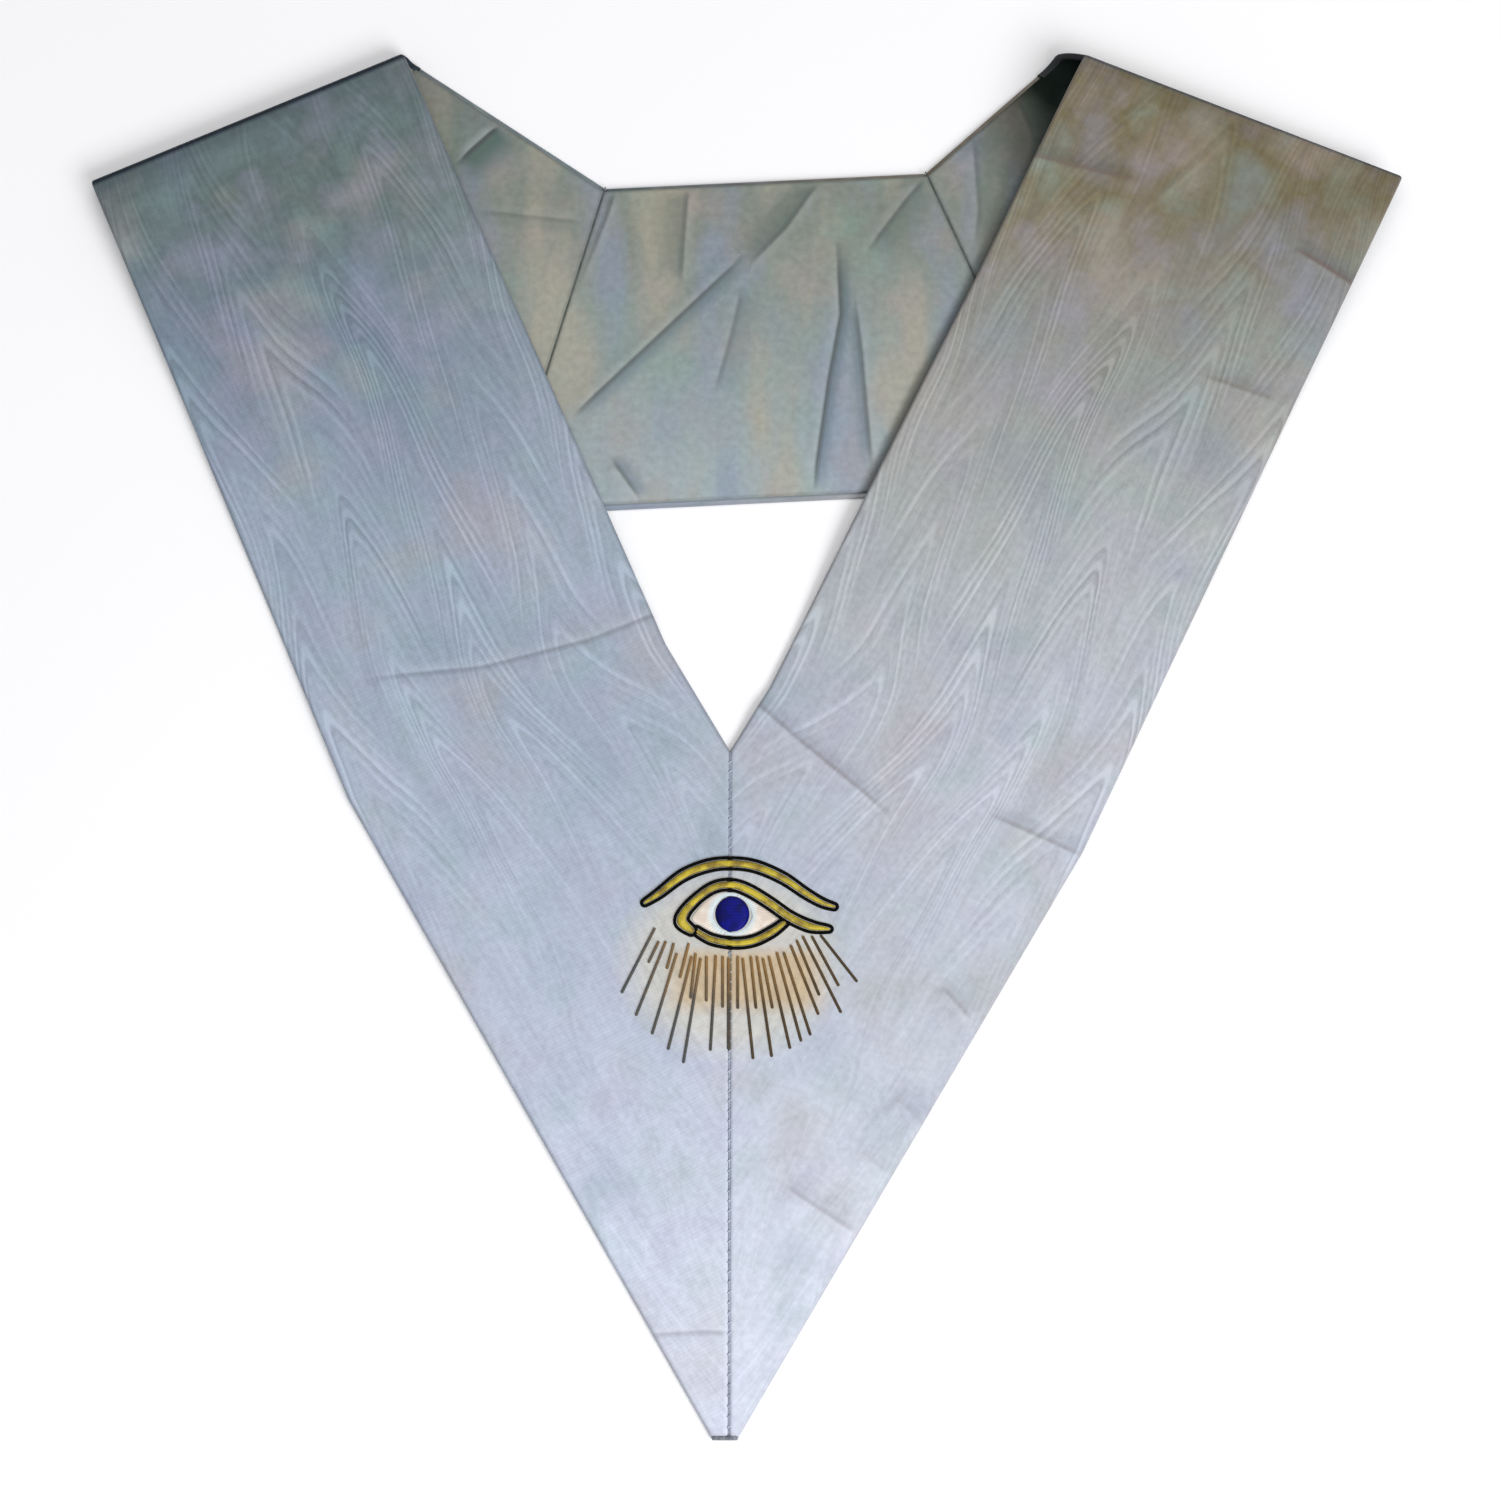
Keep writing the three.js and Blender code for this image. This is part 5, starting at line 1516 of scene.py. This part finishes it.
iris_line = np.stack((np.zeros(2), np.array((-IRIS_RADIUS, IRIS_RADIUS))), axis=-1)
iris_path, iris_steps = even_steps(iris_line)[:2]
iris_half = np.sqrt(np.maximum(IRIS_RADIUS ** 2 - (iris_steps - IRIS_RADIUS) ** 2, 1e-9))
iris = join_skins("iris_stitches", [stitch_skin(
    iris_path, square(tangents(iris_path, False)), iris_half, iris_steps / STITCH_PITCH,
    IRIS_HEIGHT, False,
)], blue)

# %% White of the eye
WHITE_HEIGHT = 0.0003
RING_RAYS = 360
RING_REACH = 0.018
RING_STEP = 0.00008

angles = np.linspace(0, 2 * math.pi, RING_RAYS, endpoint=False)
rays_out = np.stack((np.cos(angles), np.sin(angles)), axis=-1)
reaches = np.arange(IRIS_RADIUS, RING_REACH, RING_STEP)
probes = rays_out[:, None] * reaches[None, :, None]
line_points = np.concatenate([upper_path, lower_path])
to_line = np.linalg.norm(probes[:, :, None] - line_points[None, None, ::2], axis=-1).min(axis=2)
blocked = to_line < OUTLINE_WIDTH / 2 + THREAD_GAP
ring_out = reaches[np.where(blocked.any(axis=1), blocked.argmax(axis=1), len(reaches) - 1)]
ring_in = IRIS_RADIUS + THREAD_GAP
ring_middle = rays_out * ((ring_out + ring_in) / 2)[:, None]
ring_half = np.maximum((ring_out - ring_in) / 2, NARROWEST)
eye_white = join_skins("eye_white_stitches", [stitch_skin(
    ring_middle, rays_out, ring_half, ring_middle[:, 1] / STITCH_PITCH, WHITE_HEIGHT, True,
)], white)

# %% [markdown]
# ## The rays
#
# Below the eye, single lines of stitches fan out. Their rayon thread was dyed in shades, so it is
# tan near the eye and darkest at the tips and at both sides. One material shades it by place, so
# the rays need no colours of their own.

# %% Thread of the rays
RAY_SPECKLE = 0.00303

ray_thread, ray_shader = new_material(
    "ray thread, shaded rayon", Metallic=0.0, IOR=1.5, Roughness=0.6, Specular_IOR_Level=0.3,
)
position = add(ray_thread, "ShaderNodeTexCoord", out=POSITION)
place_x = add(ray_thread, "ShaderNodeSeparateXYZ", {0: position})
place_y = place_x.node.outputs[1]
near_tip = add(ray_thread, "ShaderNodeMapRange", {0: place_y, 1: APEX[1] - 0.066, 2: APEX[1] - 0.082})
from_middle = add(ray_thread, "ShaderNodeMath", {0: place_x, 1: -APEX[0]}, operation="ADD")
from_middle = add(ray_thread, "ShaderNodeMath", {0: from_middle}, operation="ABSOLUTE")
outer = add(ray_thread, "ShaderNodeMapRange", {0: from_middle, 1: 0.012, 2: 0.028})
dark = add(ray_thread, "ShaderNodeMath", {0: near_tip, 1: outer}, operation="MAXIMUM")
speckle = add(ray_thread, "ShaderNodeTexNoise", {
    "Vector": position, "Scale": 1 / RAY_SPECKLE, "Detail": 2.0,
})
speckle = add(ray_thread, "ShaderNodeMath", {0: speckle, 1: 0.8, 2: -0.40}, operation="MULTIPLY_ADD")
dark = add(ray_thread, "ShaderNodeMath", {0: dark, 1: speckle}, operation="ADD", use_clamp=True)
right_side = add(ray_thread, "ShaderNodeMapRange", {0: place_x, 1: APEX[0] - 0.01, 2: APEX[0] + 0.01})
ends = add(ray_thread, "ShaderNodeMix", {0: right_side, 6: "#4c4d4c", 7: "#46371f"}, **MIX_COLOURS)
tone = add(ray_thread, "ShaderNodeMix", {0: dark, 6: "#8a6a3c", 7: ends}, **MIX_COLOURS)
connect(ray_thread, tone, ray_shader, "Base Color")
filaments = add(ray_thread, "ShaderNodeTexNoise", {"Vector": position, "Scale": 1 / FILAMENT_WIDTH})
bump = add(ray_thread, "ShaderNodeBump", {
    "Height": filaments, "Strength": 0.3, "Distance": FILAMENT_DEPTH,
})
connect(ray_thread, bump, ray_shader, "Normal")
print(ray_thread.name, len(ray_thread.node_tree.nodes), "nodes")

# %% One skin of stitches for each ray
# x and y are where a ray starts, and its length, as shares of the emblem's width. It leans this
# many degrees out from straight down.
RAY_HALF_WIDTH = 0.00048
RAY_HEIGHT = 0.0005
RAYS = [
    dict(x=-0.389, y=-0.076, lean=-26.6, length=0.353),
    dict(x=-0.369, y=-0.143, lean=-25.3, length=0.107),
    dict(x=-0.333, y=-0.143, lean=-21.5, length=0.388),
    dict(x=-0.293, y=-0.153, lean=-14.6, length=0.121),
    dict(x=-0.278, y=-0.204, lean=-16.6, length=0.409),
    dict(x=-0.218, y=-0.153, lean=-14, length=0.168),
    dict(x=-0.203, y=-0.219, lean=-13.9, length=0.467),
    dict(x=-0.183, y=-0.204, lean=-6.1, length=0.215),
    dict(x=-0.158, y=-0.229, lean=-9.1, length=0.516),
    dict(x=-0.128, y=-0.219, lean=0, length=0.214),
    dict(x=-0.082, y=-0.214, lean=-3.1, length=0.464),
    dict(x=-0.047, y=-0.219, lean=0, length=0.244),
    dict(x=-0.017, y=-0.229, lean=0, length=0.443),
    dict(x=0.028, y=-0.219, lean=0, length=0.25),
    dict(x=0.053, y=-0.229, lean=5.9, length=0.492),
    dict(x=0.093, y=-0.219, lean=5.8, length=0.251),
    dict(x=0.124, y=-0.219, lean=8.3, length=0.494),
    dict(x=0.154, y=-0.229, lean=10.8, length=0.243),
    dict(x=0.184, y=-0.219, lean=12.8, length=0.46),
    dict(x=0.224, y=-0.199, lean=15.1, length=0.448),
    dict(x=0.259, y=-0.199, lean=17.6, length=0.422),
    dict(x=0.294, y=-0.163, lean=21.5, length=0.361),
    dict(x=0.324, y=-0.138, lean=22, length=0.286),
    dict(x=0.354, y=-0.117, lean=26.3, length=0.415),
    dict(x=0.4, y=-0.117, lean=28, length=0.271),
    dict(x=0.445, y=-0.112, lean=37.7, length=0.283),
]


def make_ray(number, ray):
    start = np.array((ray["x"], ray["y"])) * EMBLEM_WIDTH
    end = start + heading(ray["lean"] - 90) * ray["length"] * EMBLEM_WIDTH
    band = open_band(np.stack((start, end)), RAY_HALF_WIDTH, RAY_HEIGHT)
    return join_skins(f"ray_stitches_{number:02d}", [band], ray_thread)


rays = [make_ray(number, ray) for number, ray in enumerate(RAYS, start=1)]

# %% [markdown]
# ## The centre seam
#
# The two mitred edges are drawn together over a cord of grey thread by small slanting stitches,
# which show as a dotted line in the groove. They are far smaller than the creases, but the eye
# follows that line, so each stitch is a small band of its own and no mere pattern.

# %% Cord and stitches of the centre seam
SEAM_CORD_TOP = 0.0016
SEAM_STITCH_TOP = 0.0019
SEAM_STITCH_PITCH = 0.0030
SEAM_STITCH_LENGTH = 0.0010
SEAM_STITCH_SLANT = 35
SEAM_THREAD_HALF = 0.00022
CORD_HEIGHT = 0.0004
CORD_START = 0.0006
TIP_MARGIN = 0.0007


def sewn(path, half_width, top):
    """A sewn thread with its top at a height above the table."""
    points, faces = open_band(np.array(path) - EMBLEM_PLACE, half_width, CORD_HEIGHT)
    return points - (0, 0, STITCH_BASE + CORD_HEIGHT - top), faces


seam_end = -CENTRE_SEAM_LENGTH + TIP_MARGIN
seam_skins = [sewn([(0.0, -CORD_START), (0.0, seam_end)], SEAM_THREAD_HALF, SEAM_CORD_TOP)]
half_stitch = heading(SEAM_STITCH_SLANT) * SEAM_STITCH_LENGTH / 2
for y in np.arange(-CORD_START - SEAM_STITCH_PITCH, seam_end, -SEAM_STITCH_PITCH):
    middle = np.array((0.0, y))
    stitch = [middle - half_stitch, middle + half_stitch]
    seam_skins.append(sewn(stitch, SEAM_THREAD_HALF, SEAM_STITCH_TOP))
seam_stitches = join_skins("centre_seam_stitches", seam_skins, seam_grey)

# %% [markdown]
# ## Seams of the lining and of the tip
#
# The lining's panels are joined with green-grey thread that sinks into the satin, and the blunt
# end of the point is closed with a few dark stitches. Both are the same sewn thread again.

# %% Stitches of the lining and of the tip
LINING_SEAM_TOP = LINING_BASE + LINING_THICKNESS * 0.75
TIP_STITCH_TOP = SEAM_STITCH_TOP + 0.0002
TIP_SHARE = 0.9

lining_stitches = join_skins("lining_seam_stitches", [
    sewn((front.back_corner, front.lower_back), SEAM_THREAD_HALF, LINING_SEAM_TOP)
    for front in (left, right)
], lining_green)
tip_line = [(front.tip[0] * TIP_SHARE, seam_end) for front in (left, right)]
tip_stitches = join_skins("tip_stitches", [sewn(tip_line, TIP_MARGIN, TIP_STITCH_TOP)], tip_grey)

# %% [markdown]
# ## Riding on the frame
#
# Each dressed piece stands for one of the plain solids and rides on the same body, and those
# solids are hidden. Parenting it by hand would work too; here attach does it.

# %% Pieces and the solids they stand for
def seat(piece, slot, *nodes):
    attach(piece, "root")
    if nodes:
        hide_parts(*nodes)


dressed = [
    (left_front, "moire_ribbon", "left_front_ribbon"),
    (right_front, "moire_ribbon", "right_front_ribbon"),
    (left_facing, "moire_ribbon", "left_shoulder_ribbon"),
    (back_facing, "moire_ribbon", "back_ribbon"),
    (right_facing, "moire_ribbon", "right_shoulder_ribbon"),
    (left_lining, "lining_satin", "left_shoulder_lining"),
    (back_lining, "lining_satin", "back_lining"),
    (right_lining, "lining_satin", "right_shoulder_lining"),
    (brow_outline, "black_thread", "brow_outline"),
    (brow_fill, "gold_thread", "brow_fill"),
    (lid_outline, "black_thread", "lid_outline"),
    (upper_lid, "gold_thread", "upper_lid_fill"),
    (lower_lid, "gold_thread", "lower_lid_fill"),
    (eye_white, "white_thread", "eye_white"),
    (iris, "blue_thread", "iris"),
]
dressed += [(ray, "ray_thread", f"ray_{number:02d}") for number, ray in enumerate(rays, start=1)]
dressed += [
    (seam_stitches, "moire_ribbon"), (tip_stitches, "moire_ribbon"), (lining_stitches, "lining_satin"),
]
for row in dressed:
    seat(*row)
print(len(dressed), "pieces ride on the frame")

# %% [markdown]


# %% [markdown]
# ## Table, light and camera
#
# The collar lies on a plain white table, whose rolled-on paint is dull and a little uneven. A wide
# soft light from the side of the point rakes over the cloth, so that creases and folds show. Many
# lamps could fill the shadows, but a second one overhead and a pale surround are enough. The
# camera looks down from almost straight above.

# %% Table top, painted white
TABLE_SIZE = 6.0
PAINT_PATCH = 0.333

table_paint, table_shader = new_material("table top, painted white", Roughness=0.6, IOR=1.5)
grain = add(table_paint, "ShaderNodeTexNoise", {
    "Vector": add(table_paint, "ShaderNodeTexCoord", out=POSITION), "Scale": 1 / PAINT_PATCH,
    "Detail": 2.0,
})
paint = add(table_paint, "ShaderNodeMix", {0: grain, 6: "#fbfbfc", 7: "#fdfdfd"}, **MIX_COLOURS)
connect(table_paint, paint, table_shader, "Base Color")
half = TABLE_SIZE / 2
floor = new_mesh_object("table_top", np.array([
    (-half, -half, 0), (half, -half, 0), (half, half, 0), (-half, half, 0),
]), [[0, 1, 2, 3]])
floor.data.materials.append(table_paint)
print(floor.name, TABLE_SIZE, "wide, in", table_paint.name)

# %% Soft studio light
def area_light(name, location, size, power, colour):
    """A rectangular lamp that shines at the middle of the collar."""
    light = bpy.data.lights.new(name, "AREA")
    light.shape = "RECTANGLE"
    light.size, light.size_y = size
    light.energy = power
    light.color = linear(colour)[:3]
    lamp = bpy.data.objects.new(name, light)
    lamp.location = location
    lamp.rotation_euler = (-Vector(location)).to_track_quat("-Z", "Y").to_euler()
    bpy.context.scene.collection.objects.link(lamp)
    print(name, "light of", power, "watts at", location)


area_light("window", location=(1.2, -1.4, 1.35), size=(1.5, 1.0), power=42, colour="#fdfdff")
area_light("ceiling", location=(0.0, 0.1, 2.2), size=(2.4, 2.4), power=17, colour="#fffdfa")
world = bpy.data.worlds.new("pale surround")
bpy.context.scene.world = world
world.use_nodes = True
surround = world.node_tree.nodes["Background"]
surround.inputs["Color"].default_value = linear("#fafbff")
surround.inputs["Strength"].default_value = 0.41

# %% Camera
VIEW_TILT = 12.6
VIEW_DISTANCE = 0.850
LENS = 65.28
LOOK_BESIDE_APEX = (0.00625, 0.00064)
LOOK_AT = Vector((APEX[0] + LOOK_BESIDE_APEX[0], APEX[1] + LOOK_BESIDE_APEX[1], 0))

camera_data = bpy.data.cameras.new("camera")
camera_data.sensor_width = 36
camera_data.lens = LENS
camera = bpy.data.objects.new("camera", camera_data)
back = Vector((0, -math.sin(math.radians(VIEW_TILT)), math.cos(math.radians(VIEW_TILT))))
camera.location = LOOK_AT + back * VIEW_DISTANCE
camera.rotation_euler = (-back).to_track_quat("-Z", "Y").to_euler()
bpy.context.scene.collection.objects.link(camera)
bpy.context.scene.camera = camera
bpy.context.scene.view_settings.view_transform = "Standard"
print("camera at", tuple(camera.location))
